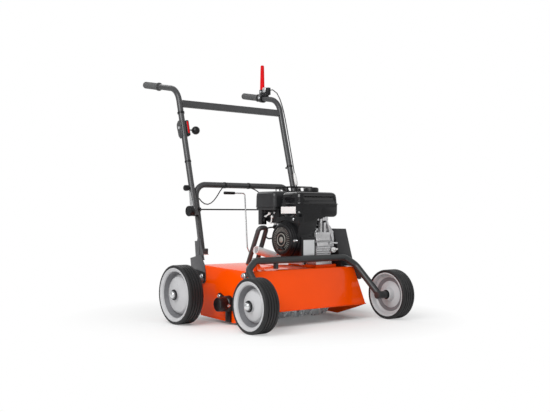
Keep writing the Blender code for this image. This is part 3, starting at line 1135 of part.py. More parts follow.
# Control cables
def build_cables():
    x = HANDLE_HALF
    split_y = FOLD_AXIS[0] + math.hypot(FOLD_AXIS[1] - HANDLE_LOW_Z + 0.001, TUBE_R) + CABLE_R + 0.0015
    py, pz = CLUTCH_PIVOT
    upper = [(x, py - 0.046 - TOUCH, pz + 0.002), (x, py - 0.080, pz + 0.002), (x + 0.005, 0.666, 1.008),
             (x + 0.010, 0.640, 0.955), (x + 0.011, handle_y(0.880) - 0.015, 0.880),
             (x + 0.011, handle_y(0.760) - 0.015, 0.760), (x + 0.009, handle_y(0.690) - 0.0170, 0.690),
             (x + 0.008, handle_y(0.620) - 0.0170, 0.620), (x + 0.008, handle_y(0.560) - 0.0175, 0.560)]
    wrap = [(x + 0.008, handle_y(0.560) - 0.0175, 0.560), (x + 0.011, handle_y(0.532) - 0.0165, 0.532),
            (x + 0.0180, handle_y(0.508) - 0.007, 0.508), (x + 0.0185, handle_y(0.494) + 0.005, 0.494),
            (x + 0.0150, handle_y(0.484) + 0.0155, 0.484), (x + 0.006, split_y - 0.003, 0.474),
            (x, split_y, FOLD_AXIS[1] + 0.011)]
    end = Vector((x, split_y, FOLD_AXIS[1] + TOUCH))
    sheath = tube(smooth_route(upper, 0.034) + smooth_route(wrap, 0.012)[1:] + [end], CABLE_R, 8)
    finish("clutch_cable_upper", sheath, "black_plastic")
    cable_x, cable_z = CLUTCH_CABLE_END
    start = Vector((x, split_y, FOLD_AXIS[1] - TOUCH))
    lower = [(x, split_y, FOLD_AXIS[1] - 0.006), (x, split_y - 0.004, FOLD_AXIS[1] - 0.026),
             (x - 0.001, 0.530, 0.395), (x - 0.002, 0.508, 0.355), (x - 0.003, 0.475, 0.325),
             (x - 0.008, 0.440, 0.303), (x - 0.022, 0.400, 0.290), (cable_x + 0.001, GUARD_REAR_Y + 0.018, cable_z),
             (cable_x, GUARD_REAR_Y + TOUCH, cable_z)]
    finish("clutch_cable_lower", tube([start] + smooth_route(lower, 0.018), CABLE_R, 8), "black_plastic")

    behind = (TUBE_R + RING_LIP + CABLE_R + TOUCH) / math.cos(math.atan(HANDLE_LEAN))
    start_z = THROTTLE_Z - 0.0285
    split_y = handle_y(0.545) + behind
    split_z = 0.530
    upper = [(-x, handle_y(start_z) + behind, start_z), (-x, handle_y(0.640) + behind, 0.640),
             (-x, split_y, 0.550), (-x, split_y, split_z + TOUCH)]
    finish("throttle_cable_upper", tube(smooth_route(upper, 0.045), CABLE_R, 8), "black_plastic")
    start = Vector((-x, split_y, split_z - TOUCH))
    lower = [(-x, split_y, 0.5245), (0.007 - x, 0.5630, 0.5175), (0.022 - x, 0.567, 0.5155),
             (-0.235, 0.567, 0.510), (-0.212, 0.564, 0.487), (-0.192, 0.560, 0.477), (-0.170, 0.554, 0.485),
             (-0.149, 0.548, 0.509), (-0.128, 0.539, 0.545), (-0.108, 0.5355, 0.556), (-0.045, 0.5355, 0.555),
             (0.019, 0.5355, 0.552), (0.050, 0.529, 0.542), (0.070, 0.520, 0.524), (0.080, 0.500, 0.496),
             (0.077, 0.470, 0.460), (0.055, 0.437, 0.440), (0.030, CARB_Y[1] + 0.024, 0.434),
             (0.030, CARB_Y[1] + TOUCH, 0.434)]
    finish("throttle_cable_lower", tube([start] + smooth_route(lower, 0.016), CABLE_R, 8), "black_plastic")


clear_scene()
materials = {name: make_material(name) for name in COLOURS}
machine = bpy.data.objects.new("machine", None)
machine.location = (0, SHIFT_Y, 0)
bpy.context.collection.objects.link(machine)

build_deck()
build_flap()
build_rotor()
build_wheels()
build_front_axle()
build_crankcase()
build_crankshaft()
build_cylinder()
build_blower()
build_tank()
build_air_cleaner()
build_muffler()
build_stay()
build_belt_drive()
build_guard()
build_lower_frame()
build_brackets()
build_handle()
build_clutch()
build_throttle()
build_depth_lever()
build_cables()
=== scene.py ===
import math

import bmesh
import bpy
from mathutils import Matrix, Vector


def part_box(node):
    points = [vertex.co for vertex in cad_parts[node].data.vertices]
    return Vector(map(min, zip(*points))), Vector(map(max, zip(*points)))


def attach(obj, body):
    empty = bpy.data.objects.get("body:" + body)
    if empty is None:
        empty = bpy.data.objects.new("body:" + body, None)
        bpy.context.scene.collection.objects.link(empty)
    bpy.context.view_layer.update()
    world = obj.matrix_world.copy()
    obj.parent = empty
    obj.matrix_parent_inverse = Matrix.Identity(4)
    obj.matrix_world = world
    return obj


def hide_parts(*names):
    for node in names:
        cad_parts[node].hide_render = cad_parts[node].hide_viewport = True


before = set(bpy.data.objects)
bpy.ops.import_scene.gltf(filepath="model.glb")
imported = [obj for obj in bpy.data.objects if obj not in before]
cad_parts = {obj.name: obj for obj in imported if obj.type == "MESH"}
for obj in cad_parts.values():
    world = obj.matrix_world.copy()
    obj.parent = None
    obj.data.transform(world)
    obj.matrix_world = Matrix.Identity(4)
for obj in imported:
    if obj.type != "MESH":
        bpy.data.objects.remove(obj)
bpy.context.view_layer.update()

rimLow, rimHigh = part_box("front_left_rim")
shiftY = (rimLow.y + rimHigh.y) / 2  # the front axle's place; all lengths below start under it
print("frame loaded, front axle at", round(shiftY, 4))

# camera, floor and lights

camera = {
    "place": (-2.14725, -2.756359, 0.43353),
    "heading": (0.6265, 0.7794, 0.01057),
    "roll": 0.03,
    "lens": 53.17,
    "sensor": 36.0,
}
# a fade is where it starts and ends; a lamp is its power, size and place
studio = {
    "floorTone": 0.9,
    "floorHalf": 14.0,
    "floorRough": 0.9,
    "floorFade": (0.34, 0.86),
    "floorLeast": 0.06,
    "worldLevel": 0.44,
    "wallLevel": 1.0,
    "wallHeading": (0.6, 0.8, 0.0),
    "wallFade": (0.35, 0.8),
    "keyLight": (98.0, 2.4, (-2.7, -1.2, 2.4)),
    "fillLight": (8.0, 2.6, (2.6, -2.0, 1.8)),
    "backLight": (20.0, 2.2, (0.4, 2.8, 2.4)),
    "lampTarget": (0.0, 0.0, 0.35),
}
lipLight = {
    "power": 0.38,
    "size": (0.46, 0.04),
    "spread": 56,
    "place": (0.0, -0.31, 0.005),
    "target": (0.0, -0.17, 0.105),
}
white = (1.0, 1.0, 1.0, 1.0)


def aimed(data, place, target):
    thing = bpy.data.objects.new(data.name, data)
    bpy.context.scene.collection.objects.link(thing)
    thing.location = place
    thing.rotation_euler = (Vector(target) - Vector(place)).to_track_quat("-Z", "Y").to_euler()
    return thing


def makeCamera():
    data = bpy.data.cameras.new("photoCamera")
    data.lens = camera["lens"]
    data.sensor_width = camera["sensor"]
    eye = Vector(camera["place"])
    made = aimed(data, eye, eye + Vector(camera["heading"]))
    roll = Matrix.Rotation(math.radians(camera["roll"]), 3, "Z")
    made.rotation_euler = (made.rotation_euler.to_matrix() @ roll).to_euler()
    bpy.context.scene.camera = made


def mathNode(tree, operation, *values):
    # each value is a number or a socket
    node = tree.nodes.new("ShaderNodeMath")
    node.operation = operation
    for socket, value in zip(node.inputs, values):
        if isinstance(value, (int, float)):
            socket.default_value = value
        else:
            tree.links.new(value, socket)
    return node.outputs[0]


def rangeNode(tree, value, low, high, toLow, toHigh):
    node = tree.nodes.new("ShaderNodeMapRange")
    for name, amount in (("From Min", low), ("From Max", high), ("To Min", toLow), ("To Max", toHigh)):
        node.inputs[name].default_value = amount
    tree.links.new(value, node.inputs["Value"])
    return node.outputs["Result"]


def vectorNode(tree, operation, coordinates, other=(0.0, 0.0, 0.0)):
    node = tree.nodes.new("ShaderNodeVectorMath")
    node.operation = operation
    node.inputs[1].default_value = other
    spot = tree.nodes.new("ShaderNodeTexCoord")
    tree.links.new(spot.outputs[coordinates], node.inputs[0])
    return node.outputs["Value"]


def seenRays(tree):
    # the rays that show a thing in the picture, also through clear pieces
    path = tree.nodes.new("ShaderNodeLightPath")
    return mathNode(tree, "MAXIMUM", path.outputs["Is Camera Ray"], path.outputs["Is Transmission Ray"])


def makeWorld():
    world = bpy.data.worlds.new("studio")
    bpy.context.scene.world = world
    world.use_nodes = True
    tree = world.node_tree
    sky = tree.nodes["Background"]
    sky.inputs["Color"].default_value = white
    plain = rangeNode(tree, seenRays(tree), 0.0, 1.0, studio["worldLevel"], 1.0)
    # shiny faces see a white wall behind the machine
    facing = vectorNode(tree, "DOT_PRODUCT", "Generated", studio["wallHeading"])
    wall = rangeNode(tree, facing, *studio["wallFade"], 0.0, studio["wallLevel"])
    path = tree.nodes.new("ShaderNodeLightPath")
    shown = mathNode(tree, "MULTIPLY", wall, path.outputs["Is Glossy Ray"])
    tree.links.new(mathNode(tree, "MAXIMUM", plain, shown), sky.inputs["Strength"])


def makeFloor():
    ground = bmesh.new()
    bmesh.ops.create_grid(ground, x_segments=1, y_segments=1, size=studio["floorHalf"])
    mesh = bpy.data.meshes.new("studioFloor")
    ground.to_mesh(mesh)
    ground.free()
    floor = bpy.data.objects.new("studioFloor", mesh)
    bpy.context.scene.collection.objects.link(floor)
    paper = bpy.data.materials.new("studioPaper")
    paper.use_nodes = True
    tree = paper.node_tree
    matt = tree.nodes["Principled BSDF"]
    tone = studio["floorTone"]
    matt.inputs["Base Color"].default_value = (tone, tone, tone, 1.0)
    matt.inputs["Roughness"].default_value = studio["floorRough"]
    matt.inputs["Specular IOR Level"].default_value = 0.0
    glow = tree.nodes.new("ShaderNodeEmission")
    # away from the machine the floor turns plain white
    far = vectorNode(tree, "LENGTH", "Object")
    fade = rangeNode(tree, far, *studio["floorFade"], studio["floorLeast"], 1.0)
    mix = tree.nodes.new("ShaderNodeMixShader")
    tree.links.new(mathNode(tree, "MULTIPLY", fade, seenRays(tree)), mix.inputs["Fac"])
    tree.links.new(matt.outputs[0], mix.inputs[1])
    tree.links.new(glow.outputs[0], mix.inputs[2])
    tree.links.new(mix.outputs[0], tree.nodes["Material Output"].inputs["Surface"])
    mesh.materials.append(paper)


def makeLights():
    for name in ("keyLight", "fillLight", "backLight"):
        lamp = bpy.data.lights.new(name, "AREA")
        lamp.energy, lamp.size, place = studio[name]
        aimed(lamp, place, studio["lampTarget"])
    # what a white studio floor throws up under the front lip, onto the knives
    strip = bpy.data.lights.new("lipLight", "AREA")
    strip.shape = "RECTANGLE"
    strip.size, strip.size_y = lipLight["size"]
    strip.energy = lipLight["power"]
    strip.spread = math.radians(lipLight["spread"])
    under = aimed(strip, lipLight["place"], lipLight["target"])
    under.visible_camera = False
    under.visible_glossy = False


bpy.context.scene.view_settings.view_transform = "Standard"
makeCamera()
makeWorld()
makeFloor()
makeLights()
print("camera, floor and lights made")

# finishes

# a finish: its usual slot, colour, roughness, metal, shine, how far the colour wanders, the grain's scale per
# metre and its height in metres
finishLooks = {
    "orangePaint": ("orange_paint", (0.98, 0.08, 0.0), 0.1, 0.0, 0.15, 0.02, 900, 0.00001),
    "greyPaint": ("grey_paint", (0.058, 0.059, 0.061), 0.33, 0.15, 0.5, 0.08, 1400, 0.00004),
    # the next row is the grey paint made darker for the portal axle: painted shade
    "portalShadedPaint": ("grey_paint", (0.028, 0.031, 0.032), 0.38, 0.0, 0.5, 0.08, 1400, 0.00004),
    "bracketPaint": ("bracket_grey", (0.125, 0.125, 0.13), 0.4, 0.35, 0.5, 0.1, 1200, 0.00004),
    "blackPaint": ("black_steel", (0.004, 0.004, 0.005), 0.34, 0.0, 0.4, 0.15, 1300, 0.00005),
    "blackPlastic": ("black_plastic", (0.005, 0.005, 0.006), 0.36, 0.0, 0.4, 0.12, 2200, 0.00004),
    "tankPlastic": ("dark_plastic", (0.004, 0.004, 0.005), 0.13, 0.0, 0.55, 0.1, 1600, 0.00003),
    "cleanerPlastic": ("dark_plastic", (0.024, 0.025, 0.027), 0.36, 0.0, 0.5, 0.1, 2400, 0.00006),
    "guardSteel": ("dark_plastic", (0.02, 0.02, 0.022), 0.4, 0.0, 0.5, 0.12, 1500, 0.00005),
    "rimPlastic": ("rim_plastic", (0.5, 0.5, 0.51), 0.32, 0.0, 0.5, 0.03, 1800, 0.00003),
    # the next row is painted shade: a darker rim grey for the rings on the dish's walls
    "rimPaintedShade": ("rim_plastic", (0.17, 0.17, 0.18), 0.36, 0.0, 0.5, 0.03, 1800, 0.00003),
    "tyreRubber": ("tyre_rubber", (0.008, 0.008, 0.009), 0.52, 0.0, 0.5, 0.25, 1500, 0.0001),
    "castAluminium": ("aluminium", (0.66, 0.66, 0.67), 0.29, 0.7, 0.5, 0.16, 1100, 0.00018),
    "brightZinc": ("zinc", (0.74, 0.75, 0.76), 0.24, 0.9, 0.5, 0.08, 900, 0.00003),
    "bladeSteel": ("steel", (0.36, 0.36, 0.37), 0.4, 0.85, 0.5, 0.22, 700, 0.00006),
    "knifeSteel": ("steel", (0.86, 0.88, 0.9), 0.28, 0.6, 0.5, 0.12, 700, 0.00006),
    "exhaustSteel": ("steel", (0.92, 0.97, 0.98), 0.5, 0.0, 0.4, 0.08, 800, 0.00004),
    "redPlastic": ("red_plastic", (0.7, 0.008, 0.012), 0.48, 0.0, 0.08, 0.05, 1800, 0.00003),
    "whitePlate": ("zinc", (0.8, 0.8, 0.79), 0.34, 0.0, 0.5, 0.03, 1500, 0.00002),
    "silverPlate": ("black_plastic", (0.72, 0.73, 0.74), 0.34, 0.3, 0.5, 0.06, 900, 0.00003),
    "creamDisc": ("black_plastic", (0.34, 0.34, 0.31), 0.38, 0.3, 0.5, 0.1, 1500, 0.00004),
    "gripRubber": ("black_plastic", (0.085, 0.087, 0.088), 0.6, 0.0, 0.5, 0.1, 1900, 0.00006),
    "cableSheath": ("cable_sheath", (0.016, 0.016, 0.017), 0.38, 0.0, 0.5, 0.08, 1800, 0.00002),
    "beltRubber": ("belt_rubber", (0.018, 0.018, 0.019), 0.7, 0.0, 0.5, 0.15, 1500, 0.00006),
}
stretched = {"bladeSteel": (1.0, 0.15, 1.0), "silverPlate": (1.0, 1.0, 0.1)}


# a noise is its scale and detail, and stops are where it starts and ends
surface = {
    "clouds": (9.0, 4.0),
    "cloudStops": (0.32, 0.68),
    "smears": (38.0, 5.0),
    "smearStops": (0.3, 0.7),
    "smearRough": (0.85, 1.18),
    "grainDetail": 3.0,
    "bump": 0.6,
}


def makeFinish(name):
    colour, rough, metal, shine, wander, grain, height = finishLooks[name][1:]
    made = bpy.data.materials.new(name)
    made.use_nodes = True
    tree = made.node_tree
    shader = tree.nodes["Principled BSDF"]
    shader.inputs["Metallic"].default_value = metal
    shader.inputs["Specular IOR Level"].default_value = shine
    spot = tree.nodes.new("ShaderNodeTexCoord")
    scaled = tree.nodes.new("ShaderNodeMapping")
    scaled.inputs["Scale"].default_value = stretched.get(name, (1.0, 1.0, 1.0))
    tree.links.new(spot.outputs["Object"], scaled.inputs["Vector"])

    def noise(scale, detail):
        node = tree.nodes.new("ShaderNodeTexNoise")
        node.inputs["Scale"].default_value = scale
        node.inputs["Detail"].default_value = detail
        tree.links.new(scaled.outputs["Vector"], node.inputs["Vector"])
        return node.outputs["Fac"]

    ramp = tree.nodes.new("ShaderNodeValToRGB")
    gains = (1.0 - wander, 1.0 + wander)
    for stop, place, gain in zip(ramp.color_ramp.elements, surface["cloudStops"], gains):
        stop.position = place
        stop.color = (*(min(1.0, c * gain) for c in colour), 1.0)
    tree.links.new(noise(*surface["clouds"]), ramp.inputs["Fac"])
    tree.links.new(ramp.outputs["Color"], shader.inputs["Base Color"])
    least, most = (min(1.0, rough * gain) for gain in surface["smearRough"])
    smear = rangeNode(tree, noise(*surface["smears"]), *surface["smearStops"], least, most)
    tree.links.new(smear, shader.inputs["Roughness"])
    bump = tree.nodes.new("ShaderNodeBump")
    bump.inputs["Strength"].default_value = surface["bump"]
    bump.inputs["Distance"].default_value = height
    tree.links.new(noise(grain, surface["grainDetail"]), bump.inputs["Height"])
    tree.links.new(bump.outputs["Normal"], shader.inputs["Normal"])
    return made


finishes = {name: makeFinish(name) for name in finishLooks}

# the corner is where the top meets the front plate, and inward are their normals into the deck; the colour is
# painted shade for the deck's inside
undersideShade = {
    "colour": (0.03, 0.026, 0.023, 1.0),
    "sideReach": 0.2735,
    "skin": 0.0015,
    "corner": (0.142, 0.214),
    "inward": ((0.9042, -0.4272), (0.0359, -0.9994)),
}


def shadeUnderside(material):
    # under the top and behind the front plate the paint is made dark: painted shade, where the deck's inside
    # lies in shadow
    tree = material.node_tree
    shader = tree.nodes["Principled BSDF"]
    spot = tree.nodes.new("ShaderNodeTexCoord")
    parts = tree.nodes.new("ShaderNodeSeparateXYZ")
    tree.links.new(spot.outputs["Object"], parts.inputs[0])
    across = mathNode(tree, "ABSOLUTE", parts.outputs["X"])
    shadeMask = mathNode(tree, "LESS_THAN", across, undersideShade["sideReach"])
    cornerY, cornerZ = undersideShade["corner"]
    for inY, inZ in undersideShade["inward"]:
        alongY = mathNode(tree, "MULTIPLY", parts.outputs["Y"], inY)
        alongZ = mathNode(tree, "MULTIPLY", parts.outputs["Z"], inZ)
        depth = mathNode(tree, "ADD", alongY, alongZ)
        least = (cornerY + shiftY) * inY + cornerZ * inZ + undersideShade["skin"]
        shadeMask = mathNode(tree, "MULTIPLY", shadeMask, mathNode(tree, "GREATER_THAN", depth, least))
    mix = tree.nodes.new("ShaderNodeMix")
    mix.data_type = "RGBA"
    shown = {socket.name: socket for socket in mix.inputs if socket.enabled}
    result = next(socket for socket in mix.outputs if socket.enabled)
    tree.links.new(shadeMask, shown["Factor"])
    tree.links.new(shader.inputs["Base Color"].links[0].from_socket, shown["A"])
    shown["B"].default_value = undersideShade["colour"]
    tree.links.new(result, shader.inputs["Base Color"])


shadeUnderside(finishes["orangePaint"])
print("finishes made:", len(finishes))

# shapes


def joined(*shapes):
    whole = shapes[0]
    for shape in shapes[1:]:
        mesh = bpy.data.meshes.new("part")
        shape.to_mesh(mesh)
        shape.free()
        whole.from_mesh(mesh)
        bpy.data.meshes.remove(mesh)
    return whole


def bevelled(shape, edges, width, segments=2):
    if width and edges:
        bmesh.ops.bevel(shape, geom=edges, offset=width, segments=segments, profile=0.5, affect="EDGES",
                        clamp_overlap=True, material=-1)
    return shape


def block(low, high, edge=0.0, segments=2, along=None):
    # along limits the rounding to the edges in one direction
    shape = bmesh.new()
    low, high = Vector(low), Vector(high)
    bmesh.ops.create_cube(shape, size=1.0)
    bmesh.ops.scale(shape, vec=high - low, verts=shape.verts)
    bmesh.ops.translate(shape, vec=(low + high) / 2, verts=shape.verts)
    edges = shape.edges[:]
    if along is not None:
        edges = [e for e in edges if abs((e.verts[0].co - e.verts[1].co)[along]) > 1e-6]
    return bevelled(shape, edges, edge, segments)


def extruded(shape, face):
    grown = bmesh.ops.extrude_face_region(shape, geom=[face])["geom"]
    corners = [item for item in grown if isinstance(item, bmesh.types.BMVert)]
    return corners, next(item for item in grown if isinstance(item, bmesh.types.BMFace))


def plate(outline, low, high, across=0, edge=0.0, segments=2):
    # an outline in the two other directions, drawn from low to high
    shape = bmesh.new()
    places = {0: lambda a, b: (low, a, b), 1: lambda a, b: (a, low, b), 2: lambda a, b: (a, b, low)}
    face = shape.faces.new([shape.verts.new(places[across](a, b)) for a, b in outline])
    shift = Vector((0, 0, 0))
    shift[across] = high - low
    bmesh.ops.translate(shape, vec=shift, verts=extruded(shape, face)[0])
    return bevelled(shape, shape.edges[:], edge, segments)


def capsule(start, end, radius, steps=10):
    # an outline with a half circle at either end
    heading = math.atan2(end[1] - start[1], end[0] - start[0])
    outline = []
    for (a, b), first in ((end, heading - math.pi / 2), (start, heading + math.pi / 2)):
        for index in range(steps + 1):
            angle = first + math.pi * index / steps
            outline.append((a + radius * math.cos(angle), b + radius * math.sin(angle)))
    return outline


def placed(shape, centre, direction):
    # a shape made along +Z from the origin is turned and moved
    turn = Vector((0, 0, 1)).rotation_difference(Vector(direction)).to_matrix().to_4x4()
    bmesh.ops.transform(shape, matrix=Matrix.Translation(centre) @ turn, verts=shape.verts)
    return shape


def lathe(profile, centre, direction, steps, closed=False):
    # a profile's points are a radius and a distance along the axis
    shape = bmesh.new()
    line = [shape.verts.new((radius, 0.0, along)) for radius, along in profile]
    edges = [shape.edges.new(pair) for pair in zip(line, line[1:])]
    if closed:
        edges.append(shape.edges.new((line[-1], line[0])))
    bmesh.ops.spin(shape, geom=line + edges, cent=(0, 0, 0), axis=(0, 0, 1), angle=math.tau, steps=steps,
                   use_merge=True, use_duplicate=False)
    bmesh.ops.remove_doubles(shape, verts=shape.verts, dist=1e-6)
    return placed(shape, centre, direction)


def eased(inner, outer, low, high, ease):
    # the profile of a ring with its outer corners eased
    return [(inner, low), (outer, low + ease), (outer, high - ease), (inner, high)]


def bar(start, end, radius, sides, edge=0.0):
    shape = bmesh.new()
    along = Vector(end) - Vector(start)
    bmesh.ops.create_cone(shape, cap_ends=True, cap_tris=False, segments=sides, radius1=radius,
                          radius2=radius, depth=along.length)
    bmesh.ops.translate(shape, vec=(0, 0, along.length / 2), verts=shape.verts)
    rims = [e for e in shape.edges if any(len(f.verts) > 4 for f in e.link_faces)]
    bevelled(shape, rims, edge, 2)
    return placed(shape, start, along)


# washer and thread: how tall, and how wide beside the head
bolt = {"washer": (0.0012, 1.35), "thread": (0.0015, 0.5)}


def boltHead(centre, direction, size, tall):
    # a washer, a six-sided head and the end of its thread
    out = Vector(direction).normalized()
    (washerTall, washerWide), (threadTall, threadWide) = bolt["washer"], bolt["thread"]
    foot, top, tip = (Vector(centre) + out * reach for reach in (washerTall, tall, tall + threadTall))
    washer = bar(centre, foot, size * washerWide, 20, 0.0003)
    head = bar(foot, top, size, 6, 0.0006)
    return joined(washer, head, bar(top, tip, size * threadWide, 12, 0.0004))


def bentRoute(points, radius, step):
    # straight stretches with arcs between them, step degrees at a time
    points = [Vector(p) for p in points]
    route = [points[0]]
    for before, corner, after in zip(points, points[1:], points[2:]):
        back = (before - corner).normalized()
        ahead = (after - corner).normalized()
        turn = math.pi - back.angle(ahead)
        reach = radius * math.tan(turn / 2)
        centre = corner + (back + ahead).normalized() * (radius / math.cos(turn / 2))
        count = max(2, math.ceil(math.degrees(turn) / step))
        first = corner + back * reach - centre
        axis = first.cross(corner + ahead * reach - centre).normalized()
        for index in range(count + 1):
            route.append(centre + Matrix.Rotation(turn * index / count, 3, axis) @ first)
    route.append(points[-1])
    return route


def smoothRoute(points, pieces):
    # a curve through all points
    points = [Vector(p) for p in points]
    padded = [2 * points[0] - points[1]] + points + [2 * points[-1] - points[-2]]
    route = []
    for a, b, c, d in zip(padded, padded[1:], padded[2:], padded[3:]):
        for index in range(pieces):
            t = index / pieces
            route.append(0.5 * (2 * b + (c - a) * t + (2 * a - 5 * b + 4 * c - d) * t * t
                                + (3 * b - a - 3 * c + d) * t * t * t))
    route.append(points[-1])
    return route


def tube(route, radius, sides):
    curve = bpy.data.curves.new("route", "CURVE")
    curve.dimensions = "3D"
    curve.bevel_depth = radius
    curve.bevel_resolution = (sides - 4) // 2
    curve.use_fill_caps = True
    spline = curve.splines.new("POLY")
    spline.points.add(len(route) - 1)
    for point, spot in zip(spline.points, route):
        point.co = (*spot, 1.0)
    guide = bpy.data.objects.new("route", curve)
    bpy.context.scene.collection.objects.link(guide)
    mesh = bpy.data.meshes.new_from_object(guide.evaluated_get(bpy.context.evaluated_depsgraph_get()))
    shape = bmesh.new()
    shape.from_mesh(mesh)
    bpy.data.objects.remove(guide, do_unlink=True)
    bpy.data.meshes.remove(mesh)
    bmesh.ops.remove_doubles(shape, verts=shape.verts, dist=1e-6)
    return shape


def hollowTube(route, radius, wall, sides):
    # an open-ended pipe: the caps go and the skin gets its wall
    shape = tube(route, radius, sides)
    caps = []
    for end, before in ((route[0], route[1]), (route[-1], route[-2])):
        along = (before - end).normalized()
        for face in shape.faces:
            off = face.calc_center_median() - end
            if off.length < radius and abs(off.dot(along)) < 1e-5:
                caps.append(face)
    bmesh.ops.delete(shape, geom=caps, context="FACES")
    bmesh.ops.recalc_face_normals(shape, faces=shape.faces)
    bmesh.ops.solidify(shape, geom=shape.faces[:], thickness=wall)
    return shape


def mirrored(side, *shapes):
    # shapes made for the left are flipped for the right
    if side < 0:
        for shape in shapes:
            bmesh.ops.scale(shape, vec=(-1, 1, 1), verts=shape.verts)


def spun(shape, angle, axis, spot):
    # turned about the origin, then moved to its spot
    bmesh.ops.rotate(shape, cent=(0, 0, 0), matrix=Matrix.Rotation(angle, 3, axis), verts=shape.verts)
    bmesh.ops.translate(shape, vec=spot, verts=shape.verts)
    return shape


def cutBelow(shape, spot, normal):
    # what lies below the plane goes, and the cut is closed
    whole = shape.verts[:] + shape.edges[:] + shape.faces[:]
    bmesh.ops.bisect_plane(shape, geom=whole, dist=1e-6, plane_co=spot, plane_no=normal, clear_inner=True)
    bmesh.ops.holes_fill(shape, edges=[e for e in shape.edges if len(e.link_faces) == 1], sides=0)


def cadCopy(node, edge, angle=28.0, segments=2):
    # a solid of the frame, cleaned up and with its sharp edges rounded
    shape = bmesh.new()
    shape.from_mesh(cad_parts[node].data)
    bmesh.ops.translate(shape, vec=(0, -shiftY, 0), verts=shape.verts)
    bmesh.ops.remove_doubles(shape, verts=shape.verts, dist=2e-5)
    bmesh.ops.dissolve_limit(shape, angle_limit=math.radians(1.0), verts=shape.verts, edges=shape.edges)
    bmesh.ops.recalc_face_normals(shape, faces=shape.faces)
    sharp = [e for e in shape.edges
             if len(e.link_faces) == 2 and e.calc_face_angle(0.0) > math.radians(angle)]
    return bevelled(shape, sharp, edge, segments)


def piece(name, shapes, finish, stands=(), body="chassis", slot=None, sharp=35.0):
    # a slot that isn't named falls back to the finish's usual one, but the slot is not used further; sharp is
    # the angle that shading leaves unsmoothed
    shape = joined(*shapes) if isinstance(shapes, (list, tuple)) else shapes
    bmesh.ops.recalc_face_normals(shape, faces=shape.faces)
    bmesh.ops.translate(shape, vec=(0, shiftY, 0), verts=shape.verts)
    mesh = bpy.data.meshes.new(name)
    shape.to_mesh(mesh)
    shape.free()
    mesh.materials.append(finishes[finish])
    mesh.shade_smooth()
    mesh.set_sharp_from_angle(angle=math.radians(sharp))
    made = bpy.data.objects.new(name, mesh)
    bpy.context.scene.collection.objects.link(made)
    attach(made, body)
    slot = slot or finishLooks[finish][0]
    if stands:
        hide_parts(*stands)


def dressed(node, finish):
    # a solid of the frame that stays gets a better finish
    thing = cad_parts[node]
    if thing.data.materials:
        thing.material_slots[0].material = finishes[finish]
    else:
        thing.data.materials.append(finishes[finish])


# the machine's own sides, with +X to its left
sides = ((-1, "right"), (1, "left"))

# wheels

wheels = {
    "tyreWidth": 0.066,
    "grooves": (-0.018, -0.006, 0.006, 0.018),
    "grooveHalf": 0.002,
    "grooveDeep": 0.0034,
    "steps": 96,
    # track, place behind the front axle, tyre and rim diameter
    "sets": (("front", 0.712, 0.0, 0.205, 0.181), ("rear", 0.838, 0.405, 0.234, 0.212)),
}


